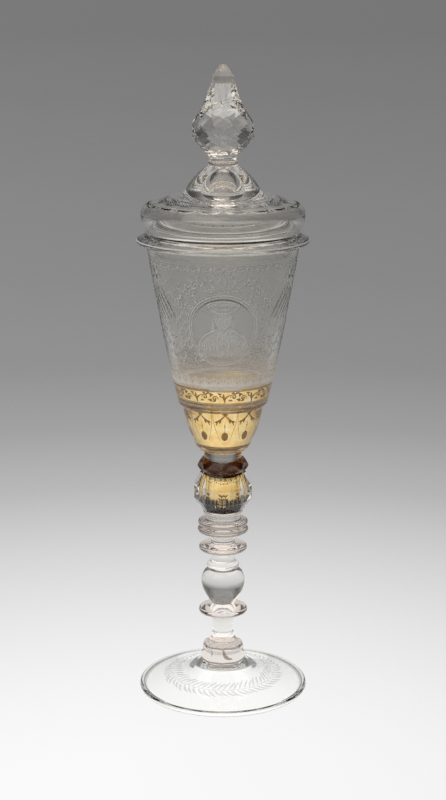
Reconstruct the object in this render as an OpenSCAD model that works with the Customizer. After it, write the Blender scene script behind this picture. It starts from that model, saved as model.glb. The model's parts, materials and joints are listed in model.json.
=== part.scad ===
// Covered glass goblet: a conical bowl on a knopped stem, gold leaf between two
// walls of glass, and a domed cover with a facet-cut finial. Millimetres, +Z up,
// origin at the centre of the foot's underside.

/* [Foot] */
// Diameter of the foot
foot_d = 84; // [70:0.5:110]
// Thickness of the folded rim of the foot
foot_rim_h = 3.2; // [2.4:0.1:4.5]
// Width of the fold, seen as a line inside the rim
foot_fold_w = 2.6; // [2.3:0.1:5]
// Height of the fold's inner edge above the table
foot_fold_lift = 1.2; // [0.5:0.1:2]
// Height of the foot's cone, from the table to the base knob
foot_rise = 14.5; // [9:0.5:22]
// Thickness of the glass at the middle of the foot
foot_wall = 5; // [3:0.1:7]
// How far the cone of the foot dips below a straight line
foot_dip = 0.7; // [0.2:0.1:1.4]
// Width of the flare where the foot runs up to the base knob
foot_flare_w = 4.3; // [3:0.1:6]
// Height of the flare where the foot runs up to the base knob
foot_flare_h = 3.1; // [2:0.1:4]
// Diameter of the ground pontil mark under the foot
pontil_d = 17; // [8:0.5:24]

/* [Base knob and lower neck] */
// Diameter of the base knob where it spreads on the foot
base_knob_d = 21.8; // [17:0.2:28]
// Diameter of the base knob at its shoulder
base_shoulder_d = 18.6; // [15:0.2:22]
// Height of the base knob up to its shoulder
base_shoulder_h = 8.7; // [6:0.1:12]
// Height of the concave top of the base knob
base_cove_h = 4; // [2.5:0.1:6]
// Diameter of the lower neck at its two ends
lower_neck_d = 11.4; // [9:0.1:14]
// Height of the lower neck
lower_neck_h = 9.8; // [6:0.1:16]
// How far the lower neck draws in at its middle
neck_waist = 0.35; // [0.1:0.05:0.8]

/* [Mereses] */
// Thickness of a merese at its rounded edge
merese_edge = 2.8; // [2:0.1:3.4]
// Diameter of the lower merese
lower_merese_d = 24.2; // [20:0.2:30]
// Height of the lower merese at its middle
lower_merese_h = 7.6; // [4:0.1:10]
// Diameter of the middle merese
middle_merese_d = 23.8; // [20:0.2:30]
// Height of the middle merese at its middle
middle_merese_h = 5; // [3.6:0.1:8]
// Diameter of the lower disc of the twin merese
twin_lower_d = 25; // [21:0.2:32]
// Diameter of the upper disc of the twin merese
twin_upper_d = 24.6; // [21:0.2:32]
// Height of each disc of the twin merese
twin_h = 3.6; // [3.5:0.1:6]
// Diameter of the seam where the two discs join
twin_seam_d = 19.2; // [15:0.2:20]

/* [Baluster and upper neck] */
// Diameter of the baluster at its foot
baluster_foot_d = 11.8; // [9:0.1:14]
// Largest diameter of the baluster
baluster_d = 21.6; // [17:0.2:28]
// Height from the baluster's foot to its largest diameter
baluster_rise = 11.4; // [8:0.1:16]
// Height from the largest diameter to the baluster's top
baluster_crown = 6; // [4:0.1:9]
// Diameter of the baluster's flat top
baluster_top_d = 14.2; // [11:0.1:16]
// How far the ring above the baluster bulges
baluster_ring_bulge = 0.8; // [0.4:0.1:1.6]
// Height of the ring above the baluster
baluster_ring_h = 6.4; // [5:0.1:9]
// Diameter of the short neck above the ring
short_neck_d = 11; // [9:0.1:13]
// Height of the short neck
short_neck_h = 2.6; // [1.6:0.1:5]
// Diameter of the upper neck
upper_neck_d = 12; // [9:0.1:14]
// Height of the upper neck
upper_neck_h = 5.2; // [3:0.1:9]

/* [Gilded knop] */
// Diameter of the collar under the knop
knop_collar_d = 19.6; // [16:0.2:22]
// Height of the collar under the knop
knop_collar_h = 4.8; // [3:0.1:7]
// Number of cut facets round the knop and the amber ring
knop_facets = 8; // [6:1:10]
// Diameter of the knop across its cut corners
knop_d = 28.4; // [26:0.2:36]
// Diameter of the knop across the corners of its lower end
knop_foot_d = 20.6; // [19.6:0.2:24]
// Diameter of the knop across the corners of its upper end
knop_top_d = 21.6; // [20.6:0.2:25]
// Height of the lower slanted facets
knop_lower_h = 5.6; // [3:0.1:8]
// Height of the upright facets
knop_belt_h = 7.6; // [4:0.1:12]
// Height of the upper slanted facets
knop_upper_h = 7; // [3:0.1:8]
// Diameter of the bore that holds the gilded core
knop_bore_d = 14.4; // [12:0.1:17]
// Thickness of the glass over the top of the bore
knop_roof = 3; // [2:0.1:4]
// Height of the dark cement that closes the bore
knop_cement_h = 3.6; // [2:0.1:5]

/* [Amber ring and button] */
// Diameter of the amber ring across its corners
amber_d = 25.2; // [23:0.2:30]
// Diameter of the amber ring's upper face across its corners
amber_top_d = 21; // [20:0.2:22.8]
// Height of the amber ring's lower facets
amber_lower_h = 2.3; // [2:0.1:6]
// Height of the amber ring's upper facets
amber_upper_h = 3.5; // [2:0.1:6]
// Diameter of the button between the amber ring and the bowl
button_d = 18.6; // [16:0.2:20]
// Height of the button
button_h = 4; // [2:0.1:6]

/* [Outer casing] */
// Diameter of the casing's top edge, flush with the bowl
casing_top_d = 48.4; // [46:0.2:54]
// Diameter of the casing at the lower edge of the gilded frieze
frieze_low_d = 43.8; // [41:0.2:45]
// Height of the gilded frieze
frieze_h = 9.9; // [7:0.1:14]
// Diameter of the casing at the top of its cup
cup_top_d = 39; // [35:0.2:40]
// Height of the step between the frieze and the cup
casing_step_h = 2.4; // [1.6:0.1:5]
// Diameter of the casing low on its cup
cup_low_d = 28; // [26:0.2:32]
// Height of the cup's straight side
cup_h = 18; // [12:0.1:24]
// Height of the rounded bottom of the casing
casing_base_h = 5.1; // [4.5:0.1:8]
// Thickness of the casing's side wall
casing_wall = 1.7; // [1.2:0.1:2.4]
// Thickness of the casing under its step
step_wall = 1.8; // [1:0.1:2.6]
// Thickness of the casing's floor
casing_floor = 3; // [2:0.1:4]

/* [Gold leaf] */
// Thickness of the leaf with its lacquer
leaf_t = 0.14; // [0.1:0.02:0.2]
// Thickness of the clear cement on each side of the leaf
cement_t = 0.06; // [0.04:0.01:0.1]
// Bare margin above the leaf of the frieze
frieze_top_margin = 0.2; // [0.1:0.1:0.6]
// Bare margin below the leaf of the frieze
frieze_low_margin = 1.1; // [0.4:0.1:3]

/* [Bowl] */
// Outer diameter of the bowl at its lip
lip_d = 73; // [66:0.5:84]
// Height of the bowl above the casing
bowl_h = 67; // [50:0.2:90]
// How far the side of the bowl swells from a straight line
bowl_swell = 0.4; // [0.1:0.1:1.5]
// Thickness of the bowl's wall at the lip
lip_wall = 2.6; // [2:0.1:3.4]
// Thickness of the bowl's wall low on its side
bowl_low_wall = 3.8; // [3:0.1:5]
// Height of the bowl's inner floor above the casing's floor
bowl_floor_h = 15; // [13:0.2:28]
// Height of the rounded bottom inside the bowl
bowl_round_h = 18; // [6:0.2:20]
// Least thickness of the bowl's plug beside the casing's step
plug_wall = 1.6; // [1:0.1:1.8]

/* [Cover] */
// Gap between the bowl's lip and the cover's flange
seat_gap = 0.3; // [0.2:0.05:0.6]
// Gap between the bowl's lip and the rim that hangs inside it
rim_gap = 0.6; // [0.4:0.1:1.5]
// Depth of the rim that hangs inside the bowl
rim_drop = 5; // [3:0.1:9]
// Thickness of the hanging rim and of the shoulder
cover_wall = 2.4; // [1.8:0.1:3]
// How far the flange stands out past the lip
flange_out = 4.9; // [3:0.1:7]
// Thickness of the flange
flange_h = 2.6; // [2:0.1:3.4]
// How far the shoulder stands back from the flange's edge
shoulder_set_in = 2.2; // [1:0.1:4]
// How far the waist stands back from the shoulder
waist_set_in = 2; // [1:0.1:3]
// Height of the waist above the flange
waist_h = 3.6; // [2.5:0.1:5]
// Height from the waist to the widest part of the shoulder
shoulder_low_h = 7.4; // [5:0.1:10]
// Height of the rounded top of the shoulder
shoulder_crown_h = 8.6; // [7:0.1:12]
// Width of the rounded top of the shoulder
shoulder_crown_w = 15.2; // [11:0.2:17]
// Number of panels cut round the shoulder
shoulder_panels = 18; // [12:1:24]
// Depth of the panels cut into the shoulder
panel_depth = 1; // [0.5:0.05:1.2]
// Place of the panels on the shoulder's round, in degrees up from its widest part
panel_angle = 59; // [55:1:72]
// Radius of the dome where it rises from its flare
dome_foot_r = 17.2; // [14:0.1:18]
// Width of the flare at the foot of the dome
dome_flare = 4.6; // [2.5:0.1:5]
// Height of the flare at the foot of the dome
dome_flare_h = 4.3; // [1.5:0.1:5]
// Height of the dome above the shoulder, up to the finial's collar
dome_h = 14.5; // [12:0.1:18]
// How far the side of the dome bulges from a straight line
dome_bulge = 0.8; // [0.3:0.1:2]
// Radius of the hollow under the dome
dome_hollow_r = 7.2; // [6:0.1:11]
// Height of the hollow under the dome, above its centre
dome_hollow_h = 12.4; // [9:0.1:13]
// Depth of the hollow's centre below the top of the shoulder
dome_sink = 2.9; // [2.6:0.1:6]

/* [Finial] */
// Diameter of the collar under the finial
finial_collar_d = 14.6; // [12:0.2:18]
// Height of the collar under the finial
finial_collar_h = 2.4; // [1.6:0.1:4]
// Diameter of the finial's neck at the collar
finial_neck_d = 12.4; // [10:0.2:14.4]
// Height of the finial's neck
finial_neck_h = 4.2; // [3:0.1:7]
// Diameter of the drop across its lower end
drop_low_d = 19; // [16:0.2:22]
// Height of the drop's lower facets
drop_low_h = 6.6; // [5:0.2:10]
// Diameter of the drop across its belt of facets
drop_d = 29.4; // [25:0.2:36]
// Height of the drop's belt
drop_belt_h = 7; // [4:0.2:9]
// Height of the drop's long upper facets
drop_upper_h = 18; // [14:0.2:24]
// Diameter of the drop across its upper end
drop_top_d = 10.6; // [9:0.2:13]
// Height of the bud at the tip
bud_h = 8.5; // [6:0.1:12]
// Number of facets round the finial
finial_facets = 8; // [6:1:10]

/* [Hidden] */

clear_glass = "#dde3e4";
warm_glass = "#d9cfc8";
amber_glass = "#4a2409";
gold = "#d9a441";
dark_cement = "#1c1f20";

// Segments in each rounded stretch of an outline
steps = 10;

// Heights of the joints, from the table up
z_base = foot_rise;
z_lower_neck = z_base + base_shoulder_h + base_cove_h;
z_lower_merese = z_lower_neck + lower_neck_h;
z_baluster = z_lower_merese + lower_merese_h;
z_ring = z_baluster + baluster_rise + baluster_crown;
z_short_neck = z_ring + baluster_ring_h;
z_middle_merese = z_short_neck + short_neck_h;
z_upper_neck = z_middle_merese + middle_merese_h;
z_twin = z_upper_neck + upper_neck_h;
z_collar = z_twin + 2 * twin_h;
z_knop = z_collar + knop_collar_h;
knop_h = knop_lower_h + knop_belt_h + knop_upper_h;
z_amber = z_knop + knop_h;
amber_h = amber_lower_h + amber_upper_h;
z_button = z_amber + amber_h;
z_casing = z_button + button_h;

// Gap that the leaf and its cement fill
leaf_fit = leaf_t + 2 * cement_t;

// The gilded core, a glass plug that carries the leaf up into the knop's bore
core_r = knop_bore_d / 2 - leaf_fit;
core_top = z_amber - knop_roof - cement_t;
core_low = z_knop + knop_cement_h;

// Levels of the casing and the bowl
z_floor = z_casing + casing_floor;
z_cup_low = z_casing + casing_base_h;
z_cup_top = z_cup_low + cup_h;
z_frieze = z_cup_top + casing_step_h;
z_ledge = z_frieze + frieze_h;
z_lip = z_ledge + bowl_h;
floor_r = cup_low_d / 2 - casing_wall - (z_cup_low - z_floor);
z_step_low = z_cup_top + step_wall;
z_step_high = z_frieze + step_wall;
plug_in_r = cup_in(z_step_low) - leaf_fit - plug_wall;
bowl_low_z = z_floor + bowl_floor_h + bowl_round_h;
// The rounded bottom sits as high as the plug's wall beside the step needs
bowl_side_z = max(bowl_low_z, round_over_step(round_over_step(bowl_low_z)));
bowl_side_r = bowl_in(bowl_side_z);
bowl_slope = (lip_d / 2 - lip_wall - bowl_side_r) / (z_lip - bowl_side_z);

// Levels of the cover
z_flange = z_lip + seat_gap;
z_waist = z_flange + flange_h + waist_h;
z_shoulder = z_waist + shoulder_low_h;
z_crown = z_shoulder + shoulder_crown_h;
flange_r = lip_d / 2 + flange_out;
shoulder_r = flange_r - shoulder_set_in;
waist_r = shoulder_r - waist_set_in;
rim_r = lip_d / 2 - lip_wall - rim_gap;
rim_taper = rim_drop * bowl_slope;
z_dome = z_crown - dome_sink;
seat_r = finial_collar_d / 2;
z_seat = z_crown + dome_h;
z_finial = z_seat + finial_collar_h;

// Levels of the finial
z_drop = z_finial + finial_neck_h;
z_belt = z_drop + drop_low_h;
z_upper = z_belt + drop_belt_h;
z_bud = z_upper + drop_upper_h;
// Overlap that joins the shapes of one solid
weld = 1;

// Points inside the arc from a to b that bulges by s to the right of its way
function bow(a, b, s) =
  let (c = norm(b - a), u = (b - a) / c, w = [u[1], -u[0]])
  let (r = (c * c / 4 + s * s) / (2 * abs(s)), half = asin(c / 2 / r))
  [for (i = [1 : steps - 1]) let (q = half * (2 * i / steps - 1))
    a + u * (c / 2 + r * sin(q)) + w * sign(s) * (r * cos(q) - r + abs(s))];

// Points on an ellipse about c, from angle a0 to a1
function oval(c, rx, rz, a0, a1) =
  [for (i = [0 : steps]) let (q = a0 + (a1 - a0) * i / steps)
    c + [rx * cos(q), rz * sin(q)]];

// Points between two radii on a quarter sine, upright at the wider end
function swell(r0, r1, z, h) =
  [for (i = [1 : steps]) [r0 + (r1 - r0) * sin(90 * i / steps), z + h * i / steps]];

// Radius inside the bowl low on its side at a height
function bowl_in(z) =
  casing_top_d / 2 - bowl_low_wall + (lip_d - casing_top_d) / 2 * (z - z_ledge) / bowl_h;
// Height at which a rounded bottom of the radius found at z clears the step by the plug's wall
function round_over_step(z) =
  z_step_low + bowl_round_h * sqrt(max(0, 1 - pow(plug_in_r / bowl_in(z), 2)));

// Inner radius of the casing at height z, in its cup and behind the frieze
function cup_in(z) =
  cup_low_d / 2 - casing_wall + (cup_top_d - cup_low_d) / 2 * (z - z_cup_low) / cup_h;
function frieze_in(z) =
  frieze_low_d / 2 - casing_wall + (casing_top_d - frieze_low_d) / 2 * (z - z_frieze) / frieze_h;

module turned(points) {
  rotate_extrude($fn = 120) polygon(points);
}

// A pressed disc with a rounded edge between two seats
module merese(z, r, h, low, high) {
  edge = merese_edge / 2;
  turned(concat(
    [[0, z], [low, z]],
    oval([r - edge, z + h / 2], edge, edge, -90, 90),
    [[high, z + h], [0, z + h]]));
}

// A solid of revolution whose side bulges or draws in between two radii
module barrel(z, low, high, h, bulge) {
  turned(concat(
    [[0, z], [low, z]],
    bow([low, z], [high, z + h], bulge),
    [[high, z + h], [0, z + h]]));
}

// One row of flat facets, d0 and d1 across the flats at heights z0 and z1
module facet_row(count, d0, z0, d1, z1, turn) {
  across = 2 * cos(180 / count);
  translate([0, 0, z0]) rotate([0, 0, turn])
    cylinder(h = z1 - z0, r1 = d0 / across, r2 = d1 / across, $fn = count);
}

// One row of facets, measured across its corners
module corner_row(count, d0, z0, d1, z1) {
  translate([0, 0, z0]) cylinder(h = z1 - z0, d1 = d0, d2 = d1, $fn = count);
}

module foot() {
  edge = foot_rim_h / 2;
  rim_in = foot_d / 2 - edge;
  fold_r = foot_d / 2 - foot_fold_w;
  under = foot_rise - foot_wall;
  top_start = [rim_in, foot_rim_h];
  top_end = [base_knob_d / 2, foot_rise];
  flare = top_end + [foot_flare_w, -foot_flare_h];
  flare_dip = 0.5;
  under_start = [pontil_d / 2, under];
  under_end = [fold_r, foot_fold_lift];
  color(clear_glass) turned(concat(
    [[0, under], under_start],
    bow(under_start, under_end, foot_dip),
    [under_end, [fold_r, 0]],
    oval([rim_in, edge], edge, edge, -90, 90),
    bow(top_start, flare, -foot_dip),
    [flare],
    bow(flare, top_end, -flare_dip),
    [top_end, [0, foot_rise]]));
}

module base_knob() {
  foot_point = [base_knob_d / 2, z_base];
  shoulder = [base_shoulder_d / 2, z_base + base_shoulder_h];
  neck = [lower_neck_d / 2, z_lower_neck];
  shoulder_bulge = 0.5;
  cove = 0.8;
  color(clear_glass) turned(concat(
    [[0, z_base], foot_point],
    bow(foot_point, shoulder, shoulder_bulge),
    [shoulder],
    bow(shoulder, neck, -cove),
    [neck, [0, z_lower_neck]]));
}

module lower_neck() {
  color(clear_glass)
    barrel(z_lower_neck, lower_neck_d / 2, lower_neck_d / 2, lower_neck_h, -neck_waist);
}

module lower_merese() {
  color(warm_glass)
    merese(z_lower_merese, lower_merese_d / 2, lower_merese_h, lower_neck_d / 2, baluster_foot_d / 2);
}

module baluster_knop() {
  wide_z = z_baluster + baluster_rise;
  top_r = baluster_top_d / 2;
  color(clear_glass) turned(concat(
    [[0, z_baluster], [baluster_foot_d / 2, z_baluster]],
    swell(baluster_foot_d / 2, baluster_d / 2, z_baluster, baluster_rise),
    [for (p = oval([top_r, wide_z], baluster_d / 2 - top_r, baluster_crown, 0, 90))
      if (p[1] > wide_z) p],
    [[0, z_ring]]));
}

module baluster_ring() {
  low = [baluster_top_d / 2, z_ring];
  high = [short_neck_d / 2, z_short_neck];
  // Height of the ring's fullest part, as a share of its height
  full_share = 0.5;
  full = [low[0] + baluster_ring_bulge, z_ring + baluster_ring_h * full_share];
  low_bulge = 0.35;
  high_dip = 0.5;
  color(clear_glass) turned(concat(
    [[0, z_ring], low],
    bow(low, full, low_bulge),
    [full],
    bow(full, high, -high_dip),
    [high, [0, z_short_neck]]));
}

module short_neck() {
  color(clear_glass)
    barrel(z_short_neck, short_neck_d / 2, short_neck_d / 2, short_neck_h, -neck_waist);
}

module middle_merese() {
  color(warm_glass)
    merese(z_middle_merese, middle_merese_d / 2, middle_merese_h, short_neck_d / 2, upper_neck_d / 2);
}

module upper_neck() {
  color(clear_glass)
    barrel(z_upper_neck, upper_neck_d / 2, upper_neck_d / 2, upper_neck_h, -neck_waist);
}

module twin_merese_lower() {
  color(warm_glass) merese(z_twin, twin_lower_d / 2, twin_h, upper_neck_d / 2, twin_seam_d / 2);
}

module twin_merese_upper() {
  color(warm_glass)
    merese(z_twin + twin_h, twin_upper_d / 2, twin_h, twin_seam_d / 2, knop_collar_d / 2);
}

module knop_collar() {
  collar_bulge = 0.4;
  end_r = knop_collar_d / 2 - collar_bulge;
  color(clear_glass) barrel(z_collar, end_r, end_r, knop_collar_h, collar_bulge);
}

module knop_shell() {
  belt_z = z_knop + knop_lower_h;
  upper_z = belt_z + knop_belt_h;
  color(clear_glass) difference() {
    union() {
      corner_row(knop_facets, knop_foot_d, z_knop, knop_d, belt_z);
      corner_row(knop_facets, knop_d, belt_z, knop_d, upper_z);
      corner_row(knop_facets, knop_d, upper_z, knop_top_d, z_amber);
    }
    translate([0, 0, z_knop - weld])
      cylinder(h = knop_h - knop_roof + weld, d = knop_bore_d, $fn = 120);
  }
}

module knop_leaf() {
  color(gold) difference() {
    translate([0, 0, core_low]) cylinder(h = core_top - core_low, r = core_r + cement_t + leaf_t, $fn = 120);
    translate([0, 0, core_low - weld])
      cylinder(h = core_top - core_low + 2 * weld, r = core_r + cement_t, $fn = 120);
  }
}

module knop_core() {
  color(clear_glass) translate([0, 0, core_low]) cylinder(h = core_top - core_low, r = core_r, $fn = 120);
}

module knop_cement() {
  color(dark_cement) translate([0, 0, z_knop])
    cylinder(h = knop_cement_h, d = knop_bore_d - 2 * cement_t, $fn = 120);
}

module amber_ring() {
  wide_z = z_amber + amber_lower_h;
  color(amber_glass) {
    corner_row(knop_facets, knop_top_d, z_amber, amber_d, wide_z);
    corner_row(knop_facets, amber_d, wide_z, amber_top_d, z_button);
  }
}

module bowl_button() {
  button_bulge = 0.5;
  end_r = button_d / 2 - button_bulge;
  color(clear_glass) barrel(z_button, end_r, end_r, button_h, button_bulge);
}

module casing() {
  base = [button_d / 2, z_casing];
  cup_low = [cup_low_d / 2, z_cup_low];
  cup_top = [cup_top_d / 2, z_cup_top];
  frieze = [frieze_low_d / 2, z_frieze];
  base_bulge = 1;
  step_bulge = 0.5;
  color(clear_glass) turned(concat(
    [[0, z_casing], base],
    bow(base, cup_low, base_bulge),
    [cup_low, cup_top],
    bow(cup_top, frieze, step_bulge),
    [frieze, [casing_top_d / 2, z_ledge], [frieze_in(z_ledge), z_ledge],
      [frieze_in(z_step_high), z_step_high], [cup_in(z_step_low), z_step_low],
      [cup_in(z_cup_low), z_cup_low], [floor_r, z_floor], [0, z_floor]]));
}

module frieze_leaf() {
  z_low = z_step_high + frieze_low_margin;
  z_top = z_ledge - frieze_top_margin;
  out_low = frieze_in(z_low) - cement_t;
  out_top = frieze_in(z_top) - cement_t;
  color(gold) turned([
    [out_low, z_low], [out_top, z_top], [out_top - leaf_t, z_top], [out_low - leaf_t, z_low]]);
}

module cup_leaf() {
  out_low = cup_in(z_cup_low) - cement_t;
  out_top = cup_in(z_step_low) - cement_t;
  base_z = z_floor + cement_t;
  base_r = floor_r - cement_t;
  color(gold) turned([
    [0, base_z], [base_r, base_z], [out_low, z_cup_low], [out_top, z_step_low],
    [out_top - leaf_t, z_step_low], [out_low - leaf_t, z_cup_low], [base_r - leaf_t, base_z + leaf_t],
    [0, base_z + leaf_t]]);
}

module bowl() {
  plug_z = z_floor + leaf_fit;
  ledge_out = [casing_top_d / 2, z_ledge];
  lip_edge = lip_wall / 2;
  lip_out = [lip_d / 2, z_lip - lip_edge];
  lip_in = [lip_d / 2 - lip_wall, z_lip - lip_edge];
  side_in = [bowl_side_r, bowl_side_z];
  color(clear_glass) turned(concat(
    [[0, plug_z], [floor_r - leaf_fit, plug_z], [cup_in(z_cup_low) - leaf_fit, z_cup_low],
      [cup_in(z_step_low) - leaf_fit, z_step_low], [frieze_in(z_step_high) - leaf_fit, z_step_high],
      [frieze_in(z_ledge) - leaf_fit, z_ledge], ledge_out],
    bow(ledge_out, lip_out, bowl_swell),
    oval([lip_d / 2 - lip_edge, z_lip - lip_edge], lip_edge, lip_edge, 0, 180),
    bow(lip_in, side_in, -bowl_swell),
    oval([0, bowl_side_z], bowl_side_r, bowl_round_h, 0, -90)));
}

// Flat panels cut all round the shoulder, square to the normal of its oval crown
module panel_cuts() {
  out = cos(panel_angle) / shoulder_crown_w;
  up = sin(panel_angle) / shoulder_crown_h;
  tilt = atan2(up, out);
  r = shoulder_r - shoulder_crown_w * (1 - cos(panel_angle)) - panel_depth * cos(tilt);
  z = z_shoulder + shoulder_crown_h * sin(panel_angle) - panel_depth * sin(tilt);
  width = r;
  reach = shoulder_crown_w;
  in_reach = (r - shoulder_r + shoulder_crown_w) / sin(tilt);
  for (i = [0 : shoulder_panels - 1])
    rotate([0, 0, (i + 0.5) * 360 / shoulder_panels - 90]) translate([r, 0, z])
      rotate([0, -tilt, 0]) translate([0, -width / 2, -reach]) cube([reach, width, reach + in_reach]);
}

module cover_shell() {
  edge = flange_h / 2;
  flange_top = [flange_r - edge, z_flange + flange_h];
  waist = [waist_r, z_waist];
  wide = [shoulder_r, z_shoulder];
  crown_r = shoulder_r - shoulder_crown_w;
  dome_foot = [dome_foot_r, z_crown + dome_flare_h];
  crown_in = [dome_foot_r + dome_flare, z_crown];
  seat = [seat_r, z_seat];
  inner_r = rim_r - cover_wall;
  inner_low = asin((dome_sink - cover_wall) / dome_hollow_h);
  flange_cove = 0.9;
  low_bulge = 0.5;
  flare_dip = 0.6;
  color(clear_glass) difference() {
    turned(concat(
      [[inner_r - rim_taper, z_flange - rim_drop], [rim_r - rim_taper, z_flange - rim_drop],
        [rim_r, z_flange]],
      oval([flange_r - edge, z_flange + edge], edge, edge, -90, 90),
      bow(flange_top, waist, -flange_cove),
      [waist],
      bow(waist, wide, low_bulge),
      oval([crown_r, z_shoulder], shoulder_crown_w, shoulder_crown_h, 0, 90),
      [crown_in],
      bow(crown_in, dome_foot, -flare_dip),
      [dome_foot],
      bow(dome_foot, seat, dome_bulge),
      [seat, [0, z_seat], [0, z_dome + dome_hollow_h]],
      [for (p = oval([0, z_dome], dome_hollow_r, dome_hollow_h, 90, inner_low)) if (p[0] > 0.01) p],
      oval([crown_r, z_shoulder], shoulder_crown_w - cover_wall, shoulder_crown_h - cover_wall, 90, 0),
      [waist - [cover_wall, 0], [inner_r, z_flange]]));
    panel_cuts();
  }
}

module finial_collar() {
  collar_bulge = 0.5;
  end_r = finial_collar_d / 2 - collar_bulge;
  color(warm_glass) barrel(z_seat, end_r, end_r, finial_collar_h, collar_bulge);
}

module finial() {
  n = finial_facets;
  half = 180 / n;
  corner = 1 / cos(half);
  neck_cove = 0.7;
  upper_fall = (drop_d - drop_top_d) / drop_upper_h;
  low_fall = (drop_d - drop_low_d) / drop_low_h;
  // Share of the belt's corners that its staggered facets keep
  edge_cut = 0.975;
  edge_d = drop_d * corner * edge_cut;
  // Shares of the main rows at which the staggered rows lie, at the belt and at the bud
  belt_share = 0.985;
  bud_share = 0.875;
  edge_upper_fall = (drop_d * belt_share - drop_top_d * bud_share) / drop_upper_h;
  edge_low_fall = (drop_d * belt_share - drop_low_d) / drop_low_h;
  drop_h = z_bud - z_drop;
  bud_top_d = 1.6;
  bud_shoulder = 0.45;
  bud_draw = 0.86;
  color(clear_glass) {
    barrel(z_finial, finial_neck_d / 2, drop_low_d / 2, finial_neck_h + weld, -neck_cove);
    intersection() {
      facet_row(n, drop_d, z_drop, drop_d, z_bud, half);
      facet_row(n, edge_d, z_drop, edge_d, z_bud, 0);
      facet_row(n, drop_low_d, z_drop, drop_low_d + low_fall * drop_h, z_bud, half);
      facet_row(n, drop_low_d, z_drop, drop_low_d + edge_low_fall * drop_h, z_bud, 0);
      facet_row(n, drop_top_d + upper_fall * drop_h, z_drop, drop_top_d, z_bud, half);
      facet_row(n, drop_top_d * bud_share + edge_upper_fall * drop_h, z_drop,
        drop_top_d * bud_share, z_bud, 0);
    }
    intersection() {
      facet_row(n, drop_top_d, z_bud - weld, drop_top_d * bud_draw, z_bud + bud_h, half);
      facet_row(n, drop_top_d * (1 + bud_shoulder), z_bud - weld, bud_top_d, z_bud + bud_h, half);
    }
  }
}

foot();
base_knob();
lower_neck();
lower_merese();
baluster_knop();
baluster_ring();
short_neck();
middle_merese();
upper_neck();
twin_merese_lower();
twin_merese_upper();
knop_collar();
knop_shell();
knop_leaf();
knop_core();
knop_cement();
amber_ring();
bowl_button();
casing();
frieze_leaf();
cup_leaf();
bowl();
cover_shell();
finial_collar();
finial();
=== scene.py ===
import bpy
import json
from math import asin, atan2, cos, degrees, hypot, pi, radians, sin
from mathutils import Euler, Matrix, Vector

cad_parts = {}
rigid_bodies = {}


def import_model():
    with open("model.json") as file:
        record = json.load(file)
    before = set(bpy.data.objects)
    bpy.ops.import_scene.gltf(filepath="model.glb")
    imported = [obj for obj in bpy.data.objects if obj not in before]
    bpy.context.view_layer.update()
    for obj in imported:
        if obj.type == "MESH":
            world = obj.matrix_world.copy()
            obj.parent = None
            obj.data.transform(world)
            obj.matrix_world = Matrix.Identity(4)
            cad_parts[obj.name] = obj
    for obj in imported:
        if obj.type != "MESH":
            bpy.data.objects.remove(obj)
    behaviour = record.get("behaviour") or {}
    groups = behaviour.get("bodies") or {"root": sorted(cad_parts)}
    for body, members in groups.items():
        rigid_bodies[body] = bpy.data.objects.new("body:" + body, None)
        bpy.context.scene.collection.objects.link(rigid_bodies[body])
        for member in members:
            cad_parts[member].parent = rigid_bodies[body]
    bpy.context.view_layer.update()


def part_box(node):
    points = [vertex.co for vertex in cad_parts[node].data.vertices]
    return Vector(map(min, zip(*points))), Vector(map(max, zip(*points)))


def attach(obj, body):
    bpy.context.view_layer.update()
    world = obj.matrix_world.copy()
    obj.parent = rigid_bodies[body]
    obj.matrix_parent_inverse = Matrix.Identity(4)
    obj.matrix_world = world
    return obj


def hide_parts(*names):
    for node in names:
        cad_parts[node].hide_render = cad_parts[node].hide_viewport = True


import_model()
mm = 0.001
tiny = 1e-6                                     # in metres, too short a step to draw


# levels of a CAD node in mm, lowest and highest
def levels(node):
    low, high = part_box(node)
    return low.z / mm, high.z / mm


# outer radius of a CAD node in mm
def outerRadius(node):
    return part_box(node)[1].x / mm


# outlines are lists of (radius, height) in mm; this arc from a to b bulges by s to the right of its way
def bow(a, b, s, n=12):
    dx, dz = b[0] - a[0], b[1] - a[1]
    c = hypot(dx, dz)
    ux, uz = dx / c, dz / c
    r = (c * c / 4 + s * s) / (2 * abs(s))
    half = asin(c / 2 / r)
    side = 1 if s > 0 else -1
    points = []
    for i in range(n + 1):
        q = half * (2 * i / n - 1)
        along = c / 2 + r * sin(q)
        out = side * (r * cos(q) - r + abs(s))
        points.append((a[0] + ux * along + uz * out, a[1] + uz * along - ux * out))
    return points


# part of an oval round c, from one angle to another in degrees
def oval(c, rx, ry, a0, a1, n=14):
    angles = [radians(a0 + (a1 - a0) * i / n) for i in range(n + 1)]
    return [(c[0] + rx * cos(a), c[1] + ry * sin(a)) for a in angles]


# rounds the corner at b between a and c, leaving the sides t mm before it
def easeCorner(a, b, c, t, n=6):
    la, lc = hypot(a[0] - b[0], a[1] - b[1]), hypot(c[0] - b[0], c[1] - b[1])
    p = (b[0] + (a[0] - b[0]) * t / la, b[1] + (a[1] - b[1]) * t / la)
    q = (b[0] + (c[0] - b[0]) * t / lc, b[1] + (c[1] - b[1]) * t / lc)
    points = []
    for i in range(n + 1):
        k = i / n
        points.append(tuple((1 - k) ** 2 * p[j] + 2 * k * (1 - k) * b[j] + k * k * q[j] for j in (0, 1)))
    return points


# joins two bows at their common corner and rounds it
def easeBetween(low, corner, high, t):
    return low[:-2] + easeCorner(low[-3], corner, high[2], t) + high[2:]


def radiusAt(outline, z):
    for (r0, z0), (r1, z1) in zip(outline, outline[1:]):
        if min(z0, z1) <= z <= max(z0, z1) and z0 != z1:
            return r0 + (r1 - r0) * (z - z0) / (z1 - z0)
    return outline[0][0]


# makes one piece the only one that the next steps work on
def pick(piece):
    bpy.ops.object.select_all(action="DESELECT")
    piece.select_set(True)
    bpy.context.view_layer.objects.active = piece


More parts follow.
